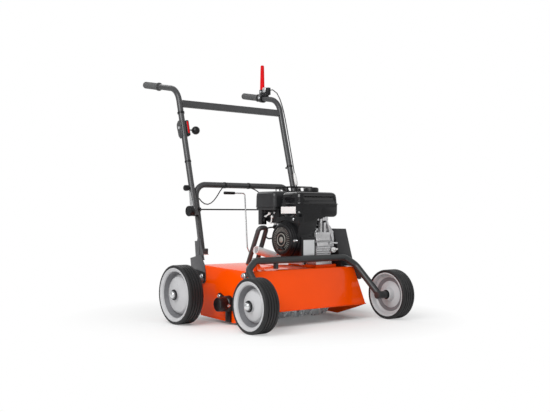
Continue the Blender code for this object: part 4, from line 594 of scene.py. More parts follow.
def makeWheel(end, side, hand, track, y, tyreD, rimD):
    body = f"wheel_{end}_{hand}"
    centre = (side * track / 2, y, tyreD / 2)
    out = (side, 0, 0)
    half = wheels["tyreWidth"] / 2
    rim = rimD / 2
    outer = tyreD / 2

    def ringed(profile, steps):
        return lathe(profile, centre, out, steps, closed=True)

    # radius and distance from the tyre's side
    shoulder = [(outer, 0.006), (outer - 0.0009, 0.0028), (outer - 0.0028, 0.0009), (outer - 0.006, 0.0),
                (rim + 0.0004, 0.0004)]
    tread = [(radius, inset - half) for radius, inset in reversed(shoulder)]
    for groove in wheels["grooves"]:
        width = wheels["grooveHalf"]
        floor = outer - wheels["grooveDeep"]
        tread += [(outer, groove - width), (outer - 0.0006, groove - width + 0.0004),
                  (floor, groove - width * 0.6), (floor, groove + width * 0.6),
                  (outer - 0.0006, groove + width - 0.0004), (outer, groove + width)]
    tread += [(radius, half - inset) for radius, inset in shoulder]
    piece(f"{end}Tyre{hand.title()}", ringed(tread, wheels["steps"]), "tyreRubber", (f"{end}_{hand}_tyre",),
          body, sharp=40)

    dish = [(0.0105, 0.0185), (0.0105, 0.03), (0.0185, 0.03), (0.02, 0.0285), (0.0215, 0.0225),
            (0.026, 0.0205), (rim - 0.04, 0.015), (rim - 0.035, 0.0118), (rim - 0.029, 0.001),
            (rim - 0.026, -0.0015), (rim - 0.02, 0.0), (rim - 0.015, 0.0225), (rim - 0.0125, 0.028),
            (rim - 0.008, 0.03), (rim - 0.0045, half - 0.0002), (rim - 0.0012, half), (rim, half - 0.0012),
            (rim, -half + 0.0012), (rim - 0.0012, -half), (rim - 0.0045, -half + 0.0002),
            (rim - 0.008, -0.029), (rim - 0.012, -0.017), (rim - 0.02, -0.01), (rim - 0.036, -0.004),
            (0.03, -0.012), (0.023, -0.029), (0.0215, -0.03), (0.0105, -0.03)]
    piece(f"{end}Rim{hand.title()}", ringed(dish, wheels["steps"]), "rimPlastic", (f"{end}_{hand}_rim",),
          body, sharp=30)
    ring = ringed([(0.0118, 0.0302), (0.0215, 0.0302), (0.0212, 0.0325), (0.019, 0.034), (0.0118, 0.034)], 40)
    inner = ringed([(0.0118, -0.0302), (0.0195, -0.0302), (0.019, -0.0312), (0.0118, -0.0312)], 40)
    piece(f"{end}HubRing{hand.title()}", [ring, inner], "blackPlastic", body=body)
    # painted shade: darker rings line the dish's groove and the back of the rim, where shade falls
    grooveShade = ringed([(rim - 0.0288, 0.0012), (rim - 0.0262, -0.0008), (rim - 0.0212, -0.0008),
                     (rim - 0.019, 0.001), (rim - 0.0143, 0.0222), (rim - 0.0157, 0.0224),
                     (rim - 0.0206, 0.0028), (rim - 0.022, 0.0006), (rim - 0.0258, 0.0006),
                     (rim - 0.028, 0.0024)], wheels["steps"])
    back = ringed([(rim - 0.035, -0.0046), (rim - 0.0205, -0.0102), (rim - 0.0208, -0.0112),
                   (rim - 0.0352, -0.0056)], wheels["steps"])
    piece(f"{end}RimShadeRing{hand.title()}", [grooveShade, back], "rimPaintedShade", body=body)
    dome = lathe([(0.0, 0.0465), (0.0058, 0.0461), (0.0104, 0.0446), (0.0136, 0.0418), (0.0148, 0.038),
                  (0.0148, 0.02), (0.0, 0.02)], centre, out, 40)
    piece(f"{end}HubCap{hand.title()}", dome, "brightZinc", body=body)


for end, *sizes in wheels["sets"]:
    for side, hand in sides:
        makeWheel(end, side, hand, *sizes)
print("wheels made")

# deck

deck = {
    "half": 0.278,
    "sheet": 0.003,
    "fold": 0.0032,
    # from the fold at the front, over the top and along the lower edge to the lip
    "outline": ((0.142, 0.214), (0.476, 0.226), (0.476, 0.018), (0.24, 0.008), (0.125, 0.043),
                (0.07, 0.0616)),
    "seatX": (0.0793, 0.194),
    "seatY": (0.162, 0.338),
    "seatZ": 0.2265,
    "depthEars": (0.0235, 0.0395),
    "hemHalf": 0.0135,
}


def deckTop(y):
    (frontY, frontZ), (rearY, rearZ) = deck["outline"][:2]
    return frontZ + (y - frontY) * (rearZ - frontZ) / (rearY - frontY)


def makeDeck():
    half = deck["half"]
    shell = plate(deck["outline"], -half, half)
    bmesh.ops.recalc_face_normals(shell, faces=shell.faces)
    openings = [f for f in shell.faces if abs(f.normal.x) < 0.5 and (f.normal.z < -0.5 or f.normal.y > 0.9)]
    bmesh.ops.delete(shell, geom=openings, context="FACES")
    bevelled(shell, [e for e in shell.edges if len(e.link_faces) == 2], deck["fold"], 3)
    bmesh.ops.solidify(shell, geom=shell.faces[:], thickness=deck["sheet"])
    frontY, frontZ = deck["outline"][5]
    lip = block((-half + 0.001, frontY - 0.004, frontZ - 0.0005),
                (half - 0.001, frontY + 0.006, frontZ + 0.003), 0.001)

    def foot(y):
        return y, deckTop(y) - 0.001

    (nearY, farY), seatZ = deck["seatY"], deck["seatZ"]
    seat = plate([foot(nearY), foot(farY), (farY, seatZ), (nearY, seatZ)], *deck["seatX"], edge=0.0012)
    ear = plate([foot(0.316), foot(0.344), (0.34, 0.257), (0.32, 0.257)], 0.23, 0.2345, edge=0.0008)
    depthEars = [plate(capsule((0.466, 0.2163), (0.5, 0.2065), 0.0082), x, x + 0.004, edge=0.0007)
                 for x in deck["depthEars"]]
    stub = bar((-0.22, *foot(0.178)), (-0.22, 0.178, 0.232), 0.007, 20, 0.0012)
    hems = []
    hemHalf = deck["hemHalf"]
    for side in (-1, 1):
        middle = side * (half - hemHalf)
        hems.append(block((middle - hemHalf, 0.452, deckTop(0.452) - 0.014),
                          (middle + hemHalf, 0.4755, deckTop(0.452) - 0.003), 0.001))
    piece("deckShell", [shell, lip, seat, ear, stub, *depthEars, *hems], "orangePaint", ("deck",), sharp=50)


makeDeck()
dressed("rear_flap", "blackPlastic")
print("deck made")

# rotor and its bearings

bearings = {
    "y": 0.272,
    "z": 0.082,
    "face": 0.2783,
    "ear": (0.06, 0.0265),
    "earSheet": 0.0068,
}
knives = {
    "number": 15,
    "first": -0.222,
    "pitch": 0.032,
    "ends": 4,
    "stagger": 7,
    "low": (-0.008, -0.003, 0.024),
    "high": (0.011, 0.003, 0.0795),
}


def makeBearings():
    y, z, face = bearings["y"], bearings["z"], bearings["face"]
    for side, hand in sides:
        earY, earZ = y + bearings["ear"][0], z + bearings["ear"][1]
        earX = face + bearings["earSheet"]
        flange = block((face, y - 0.037, z - 0.026), (face + 0.007, y + 0.037, z + 0.026), 0.009, 4, along=0)
        ear = plate(capsule((y, z), (earY, earZ), 0.0125), face, earX, edge=0.001)
        cap = lathe([(0.0, 0.0), (0.033, 0.0), (0.0315, 0.0172), (0.03, 0.0196), (0.0278, 0.0215),
                     (0.0275, 0.054), (0.0268, 0.0568), (0.025, 0.058), (0.0235, 0.0572), (0.0, 0.0572)],
                    (face, y, z), (1, 0, 0), 48)
        skid = block((face, y - 0.017, 0.01), (face + 0.01, y + 0.013, z - 0.02), 0.0015)
        groove = lathe(eased(0.0274, 0.0286, 0.03, 0.04, 0.0004), (face, y, z), (1, 0, 0), 48, closed=True)
        zinc = joined(boltHead((earX, earY, earZ), (1, 0, 0), 0.0056, 0.006),
                      boltHead((face + 0.021, y - 0.027, z - 0.004), (0, -1, 0), 0.005, 0.005))
        housing = joined(flange, ear, cap, skid, groove)
        mirrored(side, housing, zinc)
        piece(f"bearingHousing{hand.title()}", housing, "blackPaint", (f"bearing_{hand}",))
        piece(f"bearingBolts{hand.title()}", zinc, "brightZinc")


def makeKnives():
    # the blades' broad ends, each knife turned a little past the one before, in threes
    blades = []
    for number in range(knives["number"]):
        x = knives["first"] + number * knives["pitch"]
        for quarter in range(knives["ends"]):
            turn = math.radians(quarter * 360 / knives["ends"] + 180 + (number % 3) * knives["stagger"])
            blade = block(knives["low"], knives["high"], 0.0008, 1)
            blades.append(spun(blade, turn, "X", (x, bearings["y"], bearings["z"])))
    piece("knifeBlades", blades, "knifeSteel", body="rotor")


makeBearings()
makeKnives()
dressed("knife_pack", "knifeSteel")
for node in ("rotor_shaft", "driven_pulley", "drive_pulley", "idler_pulley", "crankshaft"):
    dressed(node, "bladeSteel")
dressed("drive_belt", "beltRubber")
dressed("idler_arm", "brightZinc")
dressed("flywheel", "castAluminium")
print("rotor and drive made")

# front portal axle

portal = {
    "radius": 0.0135,
    "bend": 0.038,
    "route": ((0.245, 0.147, 0.254), (0.292, 0.128, 0.222), (0.309, 0.006, 0.1085)),
    "leftIn": (0.016, 0.016, 0.024),
    "pivot": (0.17, 0.198),
    "axleZ": 0.1025,
    "collarX": (0.295, 0.325),
    "collarR": 0.015,
    "stubX": (0.315, 0.3735),
    "stubR": 0.01,
    "lugX": (0.2783, 0.2833),
    # the lug's outline, which the left one carries on down to the link
    "lug": ((0.16, 0.187), (0.178, 0.188), (0.1815, 0.194), (0.181, 0.201), (0.172, 0.208), (0.132, 0.22),
            (0.122, 0.216)),
    "leftLug": ((0.102, 0.177), (0.1, 0.164), (0.114, 0.16)),
}


def makePortal():
    half = portal["route"]
    points = [(-x, y, z) for x, y, z in reversed(half)]
    points += [(x - shift, y, z) for shift, (x, y, z) in zip(portal["leftIn"], half)]
    pivotY, pivotZ = portal["pivot"]
    parts = [tube(bentRoute(points, portal["bend"], 5), portal["radius"], 28)]
    zinc = []
    axleZ = portal["axleZ"]
    collarIn, collarOut = portal["collarX"]
    stubIn, stubOut = portal["stubX"]
    lugIn, lugOut = portal["lugX"]
    for side in (-1, 1):
        start = collarIn - (portal["leftIn"][2] if side > 0 else 0.0)
        parts.append(bar((side * start, 0, axleZ), (side * collarOut, 0, axleZ), portal["collarR"], 32,
                         0.0012))
        parts.append(bar((side * stubIn, 0, axleZ), (side * stubOut, 0, axleZ), portal["stubR"], 24, 0.001))
        outline = portal["lug"] + (portal["leftLug"] if side > 0 else ())
        parts.append(plate(outline, side * lugIn, side * lugOut, edge=0.0009))
        zinc.append(boltHead((side * lugOut, pivotY, pivotZ), (side, 0, 0), 0.0085, 0.0075))
    parts.append(block((-0.15, 0.139, 0.2201), (-0.136, 0.155, 0.25), 0.0012))
    parts.append(plate([(0.141, 0.25), (0.164, 0.2285), (0.176, 0.2285), (0.176, 0.2405), (0.153, 0.258)],
                       0.0183, 0.0233, edge=0.0008))
    zinc.append(bar((0.012, 0.17, 0.2345), (0.021, 0.17, 0.2345), 0.003, 16, 0.0004))
    # painted shade: the portal wears a darkened copy of the grey paint
    piece("portalAxle", parts, "portalShadedPaint", ("front_axle",), "portal")
    piece("portalBolts", zinc, "brightZinc", body="portal")


makePortal()
print("portal axle made")

# handle frame

handle = {
    "radius": 0.0125,
    "wall": 0.0015,
    "half": 0.28,
    "lean": 0.265,
    "fold": (0.517, 0.455),
    "corner": (0.655, 0.976),
    "lowZ": 0.43,
    "rise": 10.5,
    "endY": 0.931,
    "bend": 0.087,
    "barZ": 0.912,
    "barHalf": (0.2685, 0.008, 0.015),
    "clipZ": 0.866,
    "lockZ": 0.545,
    "ringZ": 0.654,
}
upHandle = Vector((0, handle["lean"], 1)).normalized()


def handleY(z):
    return handle["fold"][0] + (z - handle["fold"][1]) * handle["lean"]


def leaned(shape, y, z):
    # leans back with the handle, about a point on it
    turn = Matrix.Rotation(-math.atan(handle["lean"]), 4, "X")
    bmesh.ops.transform(shape, matrix=Matrix.Translation((0, y, z)) @ turn @ Matrix.Translation((0, -y, -z)),
                        verts=shape.verts)
    return shape


def handleEnd(short):
    # where the tubes end, or a little short of it
    cornerY, cornerZ = handle["corner"]
    endY = handle["endY"] - short
    return endY, cornerZ + (endY - cornerY) * math.tan(math.radians(handle["rise"]))


def makeHandle():
    radius, half = handle["radius"], handle["half"]
    lowZ = handle["lowZ"]
    tubes = []
    trims = []

    def band(z, reach, ease, tall):
        profile = eased(radius + 0.0001, radius + reach, 0.0, tall, ease)
        return lathe(profile, Vector((x, handleY(z), z)), upHandle, 32, closed=True)

    for side in (-1, 1):
        x = side * half
        foot = Vector((x, handleY(lowZ), lowZ))
        route = bentRoute([foot, (x, *handle["corner"]), (x, *handleEnd(0.004))], handle["bend"], 5)
        tubes.append(hollowTube(route, radius, handle["wall"], 28))
        trims.append(band(handle["ringZ"], 0.0016, 0.0006, 0.008))
        if side > 0:
            tabY = handleY(0.652)
            trims.append(block((x - 0.004, tabY + 0.013, 0.648), (x + 0.004, tabY + 0.028, 0.656), 0.0012))
        else:
            trims.append(band(handle["clipZ"], 0.003, 0.0008, 0.0088))
        trims.append(lathe([(0.0, 0.002), (0.01, 0.002), (0.0115, 0.0005), (0.0115, -0.001), (0.0, -0.001)],
                           foot, upHandle, 28))
    barY, barZ = handleY(handle["barZ"]), handle["barZ"]
    middle, reach = Vector((0, barY, barZ)), Vector(handle["barHalf"])
    cross = leaned(block(middle - reach, middle + reach, 0.0028, 3), barY, barZ)
    piece("handleTubes", tubes + [cross], "greyPaint", ("upper_handle",), "handle")
    piece("handleTrims", trims, "blackPlastic", body="handle")


grips = {"ridges": 15, "first": 0.01, "pitch": 0.0068}


def makeGrips():
    rise = math.radians(handle["rise"])
    forward = (0, -math.cos(rise), -math.sin(rise))
    for side, hand in sides:
        start = Vector((side * handle["half"], *handleEnd(0.0)))
        profile = [(0.0, 0.0006), (0.005, 0.0), (0.0115, 0.0004), (0.0145, 0.002), (0.0155, 0.0046)]
        for ridge in range(grips["ridges"]):
            along = grips["first"] + ridge * grips["pitch"]
            profile += [(0.0154, along), (0.0147, along + 0.001), (0.0147, along + 0.0024),
                        (0.0154, along + 0.0034)]
        profile += [(0.015, 0.114), (0.018, 0.1185), (0.0185, 0.12), (0.0185, 0.125), (0.0178, 0.126),
                    (0.0128, 0.126), (0.0128, 0.004), (0.0, 0.004)]
        piece(f"handGrip{hand.title()}", lathe(profile, start, forward, 40), "gripRubber", (f"grip_{hand}",),
              "handle")


locks = {
    "x": 0.2935,
    "lobes": 5,
    "lobeRing": 0.0085,
    "lobeR": 0.0044,
    "lobeLong": 0.014,
    "strapX": (0.2928, 0.2938),
}


def makeLocks():
    lockY, lockZ = handleY(handle["lockZ"]), handle["lockZ"]
    foldY, foldZ = handle["fold"]
    for side, hand in sides:
        near = Vector((side * locks["x"], lockY, lockZ))
        out = Vector((side, 0, 0))
        core = lathe([(0.0, -0.026), (0.004, -0.026), (0.004, 0.0), (0.0085, 0.0), (0.009, 0.003),
                      (0.0118, 0.006), (0.012, 0.019), (0.0105, 0.0228), (0.007, 0.024), (0.0, 0.024)], near,
                     out, 40)
        lobes = []
        for index in range(locks["lobes"]):
            angle = math.tau * index / locks["lobes"]
            spot = near + 0.0065 * out + locks["lobeRing"] * Vector((0, math.cos(angle), math.sin(angle)))
            lobes.append(bar(spot, spot + locks["lobeLong"] * out, locks["lobeR"], 16, 0.0012))
        piece(f"lockKnob{hand.title()}", [core, *lobes], "blackPlastic", (f"lock_knob_{hand}",),
              f"knob_{hand}")
        inner, outer = (side * x for x in locks["strapX"])
        strap = plate([(foldY - 0.0125, foldZ + 0.012), (foldY + 0.0125, foldZ + 0.012),
                       (foldY + 0.0045, lockZ - 0.004), (foldY - 0.0045, lockZ - 0.004)], inner, outer,
                      edge=0.0003)
        piece(f"lockStrap{hand.title()}", leaned(strap, foldY, foldZ), "brightZinc", body="handle")
    parts = [bar((-0.296, foldY, foldZ), (0.296, foldY, foldZ), 0.003, 16)]
    for side in (-1, 1):
        parts.append(lathe([(0.0, 0.0), (0.0195, 0.0), (0.0212, 0.0015), (0.0214, 0.012), (0.0222, 0.0135),
                            (0.0222, 0.018), (0.0205, 0.0205), (0.016, 0.021), (0.015, 0.019), (0.006, 0.019),
                            (0.0052, 0.0205), (0.0, 0.0205)], (side * 0.2945, foldY - 0.002, foldZ - 0.007),
                           (side, 0, 0), 48))
    piece("foldRod", parts, "blackPaint", ("tie_rod",))


lowerFrame = {
    "half": 0.2545,
    "foot": (0.5005, 0.286),
    "top": (0.5505, 0.561),
    "kneeDown": 0.06,
    # how far the legs pass behind the fold
    "behindFold": 0.0205,
    "bend": 0.048,
    "clips": (-0.105, 0.024),
    "clippedCable": (0.5355, 0.5555),
}


def makeLowerFrame():
    radius = handle["radius"]
    legX = lowerFrame["half"]
    foldY, foldZ = handle["fold"]
    footY, footZ = lowerFrame["foot"]
    topY, topZ = lowerFrame["top"]
    kneeZ = topZ - lowerFrame["kneeDown"]
    kneeY = footY + (kneeZ - footZ) / (foldZ - footZ) * (foldY + lowerFrame["behindFold"] - footY)
    points = [(-legX, footY, footZ), (-legX, kneeY, kneeZ), (-legX, topY, topZ), (legX, topY, topZ),
              (legX, kneeY, kneeZ), (legX, footY, footZ)]
    parts = [hollowTube(bentRoute(points, lowerFrame["bend"], 5), radius, handle["wall"], 28)]
    for x in (-legX, legX):
        parts.append(plate(capsule((foldY, foldZ), (foldY + 0.01, foldZ), 0.009), x - 0.002, x + 0.002,
                           edge=0.0006))
    piece("frameTube", parts, "greyPaint", ("lower_frame",))
    clips = []
    clipHalf = 0.0045
    for x in lowerFrame["clips"]:
        band = eased(radius + 0.0001, radius + 0.0013, -clipHalf, clipHalf, 0.0003)
        clips.append(lathe(band, (x, topY, topZ), (1, 0, 0), 32, closed=True))
        band = eased(0.0027, 0.004, -clipHalf, clipHalf, 0.0003)
        clips.append(lathe(band, (x, *lowerFrame["clippedCable"]), (1, 0, 0), 20, closed=True))
    piece("cableClips", clips, "blackPlastic")


brackets = {
    "strapX": (0.2716, 0.2736),
    "coverX": (0.2825, 0.2852),
    "bolts": ((0.456, 0.181), (0.482, 0.172)),
}


def makeBrackets():
    for side, hand in sides:
        near, far = (side * x for x in brackets["strapX"])
        strap = plate([(0.494, 0.324), (0.528, 0.323), (0.52, 0.25), (0.492, 0.25)], near, far, edge=0.0006)
        piece(f"handleBracket{hand.title()}", [cadCopy(f"handle_bracket_{hand}", 0.0006), strap],
              "bracketPaint", (f"handle_bracket_{hand}",), sharp=30)
        cover = plate([(0.436, 0.196), (0.4372, 0.161), (0.45, 0.1512), (0.48, 0.1512), (0.4985, 0.17),
                       (0.52, 0.191), (0.505, 0.206)], *brackets["coverX"], edge=0.0008)
        bolts = [boltHead((brackets["coverX"][1], y, z), (1, 0, 0), 0.0068, 0.006)
                 for y, z in brackets["bolts"]]
        shoe = block((0.239, 0.4745, 0.266), (0.2695, 0.488, 0.27), 0.001)
        cuff = block((0.24, 0.4755, 0.27), (0.269, 0.505, 0.292), 0.002)
        zinc = joined(*bolts, shoe)
        mirrored(side, cover, cuff, zinc)
        piece(f"bracketCover{hand.title()}", cover, "blackPaint")
        piece(f"bracketCuff{hand.title()}", cuff, "greyPaint", slot="black_steel")
        piece(f"bracketBolts{hand.title()}", zinc, "brightZinc")


makeHandle()
makeGrips()
makeLocks()
makeLowerFrame()
makeBrackets()
print("handle and frame made")

# controls

controls = {
    "clutchPivot": (0.778, 1.03),
    "clutchTop": 1.16,
    "clutchHalf": 0.0055,
    "throttleZ": 0.797,
    "boxFace": -0.2512,
    "throttleKnobR": 0.018,
    "depthShaft": (0.5, 0.2065),
    "depthTop": 0.526,
}


def makeClutch():
    y, z = controls["clutchPivot"]
    top = controls["clutchTop"]
    half = controls["clutchHalf"]
    x = handle["half"]
    turns = [math.radians(turn) for turn in range(0, 181, 20)]
    foot = [(y - 0.01 * math.cos(turn), z - 0.01 * math.sin(turn)) for turn in turns]
    blade = plate(foot + [(y + 0.0125, z + 0.012), (y + 0.0082, top - 0.004), (y + 0.004, top),
                          (y - 0.004, top), (y - 0.0082, top - 0.004), (y - 0.012, z + 0.012)], x - half,
                  x + half, edge=0.0022, segments=3)
    rib = plate([(y - 0.004, z + 0.02), (y + 0.004, z + 0.02), (y + 0.0035, top - 0.018),
                 (y - 0.0035, top - 0.018)], x - half - 0.001, x + half + 0.001, edge=0.0009)
    piece("clutchLever", [blade, rib], "redPlastic", ("clutch_lever",), "clutch_lever")
    pin = joined(boltHead((x - 0.0095, y, z), (-1, 0, 0), 0.0048, 0.004),
                 boltHead((x + 0.0095, y, z), (1, 0, 0), 0.0048, 0.004))
    piece("clutchPin", pin, "brightZinc", body="clutch_lever")
    bracket = joined(cadCopy("clutch_bracket", 0.0007),
                     block((x - 0.0095, y - 0.056, z - 0.02), (x + 0.0095, y - 0.036, z + 0.0165), 0.004, 3),
                     block((x - 0.01, y - 0.04, z - 0.032), (x + 0.01, y - 0.012, z - 0.009), 0.003, 3))
    piece("clutchBracket", bracket, "blackPaint", ("clutch_bracket",), "handle", slot="black_plastic")
    silver = [bar((x, y - 0.052, z + 0.002), (x, y - 0.0465, z + 0.002), 0.0035, 16, 0.0006),
              bar((x, y - 0.044, z + 0.002), (x, y - 0.04, z + 0.002), 0.0078, 6, 0.0006),
              boltHead((x - 0.0205, y - 0.002, z - 0.03), (-1, 0, 0), 0.005, 0.0045),
              block((x - 0.0105, y - 0.036, z - 0.006), (x + 0.0085, y - 0.013, z + 0.019), 0.0035, 3)]
    piece("clutchFittings", silver, "brightZinc", body="handle")


def makeThrottle():
    z = controls["throttleZ"]
    y = handleY(z)
    face = controls["boxFace"]
    housing = joined(block((-0.2672, y - 0.01, z - 0.028), (face, y + 0.014, z + 0.042), 0.0045, 3),
                     block((-0.295, y + 0.0128, z - 0.024), (-0.2635, y + 0.017, z + 0.03), 0.0012, 2))
    piece("throttleBox", leaned(housing, y, z), "blackPlastic", ("throttle_housing",), "handle")
    cover = plate([(y - 0.0105, z - 0.03), (y - 0.004, z - 0.04), (y + 0.008, z - 0.04),
                   (y + 0.0185, z - 0.026), (y + 0.0225, z + 0.018), (y + 0.02, z + 0.03),
                   (y + 0.008, z + 0.04), (y - 0.0105, z + 0.04)], -0.2972, -0.2926, edge=0.0016, segments=3)
    piece("throttleCover", leaned(cover, y, z), "greyPaint", body="handle", slot="black_plastic")
    stripe = block((-0.264, y - 0.0108, z - 0.018), (-0.2565, y - 0.0098, z + 0.035), 0.0006, 2)
    slot = block((face - 0.0002, y - 0.0036, z - 0.018), (face + 0.0006, y + 0.0036, z + 0.024), 0.0003, 1)
    piece("throttleStripe", leaned(stripe, y, z), "redPlastic", body="handle")
    piece("throttleSlot", leaned(slot, y, z), "blackPaint", body="handle", slot="black_plastic")
    screw = boltHead((-0.2972, y + 0.004, z + 0.008), (-1, 0, 0), 0.0048, 0.004)
    piece("throttleScrews", leaned(screw, y, z), "brightZinc", body="handle")
    hub = bar((face - 0.008, y - 0.003, z), (face - 0.008, y + 0.003, z), 0.006, 20, 0.0005)
    stem = bar((face - 0.008, y, z), (face + 0.02, y, z), 0.0026, 16)
    collar = bar((face + 0.013, y, z), (face + 0.019, y, z), 0.0042, 24, 0.0012)
    ball = bmesh.new()
    bmesh.ops.create_uvsphere(ball, u_segments=40, v_segments=24, radius=controls["throttleKnobR"])
    placed(ball, (face + 0.034, y, z), (1, 0, 0))
    piece("throttleKnob", leaned(joined(hub, stem, collar, ball), y, z), "blackPlastic", ("throttle_lever",),
          "throttle_lever")


def makeDepthLever():
    y, z = controls["depthShaft"]
    topZ = controls["depthTop"]
    route = bentRoute([(0.048, y, z), (0.006, y, z), (-0.006, y, 0.266), (-0.019, y, 0.29), (-0.033, y, topZ),
                       (-0.1, y, topZ)], 0.012, 8)
    arm = plate(capsule((y, z), (y, z + 0.03), 0.006), 0.0183, 0.0223, edge=0.0006)
    pin = bar((0.012, y, z + 0.03), (0.0235, y, z + 0.03), 0.003, 16, 0.0004)
    piece("depthRod", [tube(route, 0.0032, 16), arm, pin], "brightZinc", ("depth_lever",), "depth_lever")
    grip = lathe([(0.0, 0.0), (0.0045, 0.0), (0.0062, 0.0014), (0.0065, 0.004), (0.0062, 0.05),
                  (0.0058, 0.0545), (0.0042, 0.056), (0.0033, 0.056), (0.0, 0.0555)], (-0.143, y, topZ),
                 (1, 0, 0), 28)
    piece("depthGrip", grip, "blackPlastic", body="depth_lever")
    dressed("depth_link", "brightZinc")


def makeCableTrim():
    x = handle["half"]
    start = Vector((x + 0.008, handleY(0.57) - 0.0172, 0.57))
    sleeve = lathe([(0.0027, 0.0), (0.0072, 0.0006), (0.0078, 0.002), (0.0078, 0.044), (0.0066, 0.046),
                    (0.0066, 0.056), (0.005, 0.057), (0.0027, 0.0572)], start, upHandle, 28, closed=True)
    piece("cableAdjuster", sleeve, "whitePlate", body="handle")
    for node in ("clutch_cable_upper", "clutch_cable_lower", "throttle_cable_upper", "throttle_cable_lower"):
        dressed(node, "cableSheath")


makeClutch()
makeThrottle()
makeDepthLever()
makeCableTrim()
print("controls made")

# engine

engine = {
    "crank": (0.248, 0.33),
    "recoilFace": -0.034,
    "recoilR": 0.073,
    "recoilSlots": 36,
    "recoilBoltR": 0.0705,
    "recoilBolts": (62, 182, 302),
    "ropeOut": (-0.022, -0.036),
    "tankX": (-0.011, 0.211),
    "tankY": (0.158, 0.289),
    "tankZ": (0.424, 0.527),
    "seamZ": 0.478,
    "filler": (0.108, 0.222),
    "capRidges": 24,
    "cleanerX": (-0.023, 0.07),
    "cleanerY": (0.305, 0.441),
    "cleanerZ": (0.465, 0.532),
}


def raised(low, high, corner, baseZ, steps):
    # a rounded rectangle drawn up through steps of (height, inset), closed at both ends
    shape = bmesh.new()
    halfX, halfY = (high[0] - low[0]) / 2, (high[1] - low[1]) / 2
    bmesh.ops.create_grid(shape, x_segments=1, y_segments=1, size=1.0)
    bmesh.ops.scale(shape, vec=(halfX, halfY, 1.0), verts=shape.verts)
    middle = Vector(((low[0] + high[0]) / 2, (low[1] + high[1]) / 2, 0))
    bmesh.ops.bevel(shape, geom=shape.verts[:], offset=corner, segments=7, profile=0.5, affect="VERTICES",
                    clamp_overlap=True, material=-1)
    face = next(iter(shape.faces))
    inset = 0.0
    height = 0.0
    for nextHeight, nextInset in steps:
        moved, face = extruded(shape, face)
        ratioX = (halfX - nextInset) / (halfX - inset)
        ratioY = (halfY - nextInset) / (halfY - inset)
        bmesh.ops.scale(shape, vec=(ratioX, ratioY, 1.0), verts=moved)
        bmesh.ops.translate(shape, vec=(0, 0, nextHeight - height), verts=moved)
        inset, height = nextInset, nextHeight
    bmesh.ops.translate(shape, vec=middle + Vector((0, 0, baseZ)), verts=shape.verts)
    bmesh.ops.recalc_face_normals(shape, faces=shape.faces)
    return shape


def sunken(shape, facing, least, border, depth):
    # the wide faces on one side go in by depth, within a sloping border
    faces = [f for f in shape.faces if f.normal.dot(facing) > 0.98 and f.calc_area() > least]
    bmesh.ops.inset_region(shape, faces=faces, thickness=border, depth=0.0, use_even_offset=True)
    bmesh.ops.inset_region(shape, faces=faces, thickness=depth * 0.8, depth=-depth, use_even_offset=True)


def makeTank():
    (lowX, highX), (lowY, highY), (lowZ, highZ) = engine["tankX"], engine["tankY"], engine["tankZ"]
    seam = engine["seamZ"]
    rise = seam - lowZ
    lower = raised((lowX, lowY), (highX, highY), 0.024, seam - 0.001,
                   [(-0.003, 0.0), (0.016 - rise, 0.0006), (0.009 - rise, 0.0022), (0.004 - rise, 0.0058),
                    (0.001 - rise, 0.011), (-rise + 0.001, 0.015)])
    upper = raised((lowX + 0.0005, lowY + 0.0005), (highX - 0.0005, highY - 0.0005), 0.024, seam + 0.001,
                   [(0.003, 0.001), (0.027, 0.0028), (0.038, 0.005), (0.044, 0.0095), (0.0475, 0.016),
                    (0.0485, 0.024)])
    for facing in ((-1, 0, 0), (0, -1, 0)):
        sunken(upper, Vector(facing), 0.0012, 0.0075, 0.0022)
    flange = raised((lowX - 0.003, lowY - 0.003), (highX + 0.003, highY + 0.002), 0.026, seam - 0.0014,
                    [(0.0004, -0.0004), (0.0024, -0.0004), (0.0028, 0.0)])
    neck = bar((*engine["filler"], highZ - 0.006), (*engine["filler"], highZ + 0.006), 0.0232, 40, 0.0008)
    skirt = raised((lowX + 0.0003, lowY + 0.0003), (highX - 0.05, highY - 0.02), 0.022, 0.45,
                   [(-0.03, 0.0), (-0.058, 0.001)])
    cutBelow(skirt, (lowX, 0.162, 0.397), (-0.188, -0.286, 0.94))
    feet = [block((x, 0.2, 0.4103), (x + 0.02, 0.24, 0.425), 0.002) for x in (0.095, 0.145)]
    piece("fuelTank", [lower, upper, flange, skirt, neck, *feet], "tankPlastic", ("fuel_tank",), sharp=32)
    label = block((lowX - 0.001, 0.182, 0.438), (lowX + 0.001, 0.276, 0.466), 0.0004, 1)
    piece("tankLabel", label, "whitePlate", slot="dark_plastic")
    panel = block((0.11, lowY - 0.0006, 0.43), (0.19, lowY + 0.001, 0.464), 0.0016, 2)
    piece("tankPanel", panel, "blackPaint", slot="dark_plastic")

    fx, fy = engine["filler"]
    top = highZ + 0.0063
    cap = lathe([(0.0, top), (0.0233, top), (0.0233, top - 0.0046), (0.03, top - 0.0046),
                 (0.031, top - 0.0035), (0.0308, top + 0.008), (0.029, top + 0.0118), (0.025, top + 0.014),
                 (0.012, top + 0.0148), (0.0, top + 0.015)], (fx, fy, 0), (0, 0, 1), 60)
    ridges = []
    number = engine["capRidges"]
    for index in range(number):
        ridge = block((0.0298, -0.0013, top - 0.003), (0.0309, 0.0013, top + 0.007), 0.0004, 1)
        ridges.append(spun(ridge, math.tau * index / number, "Z", (fx, fy, 0)))
    piece("tankCap", [cap, *ridges], "blackPlastic", ("fuel_cap",), "fuel_cap")


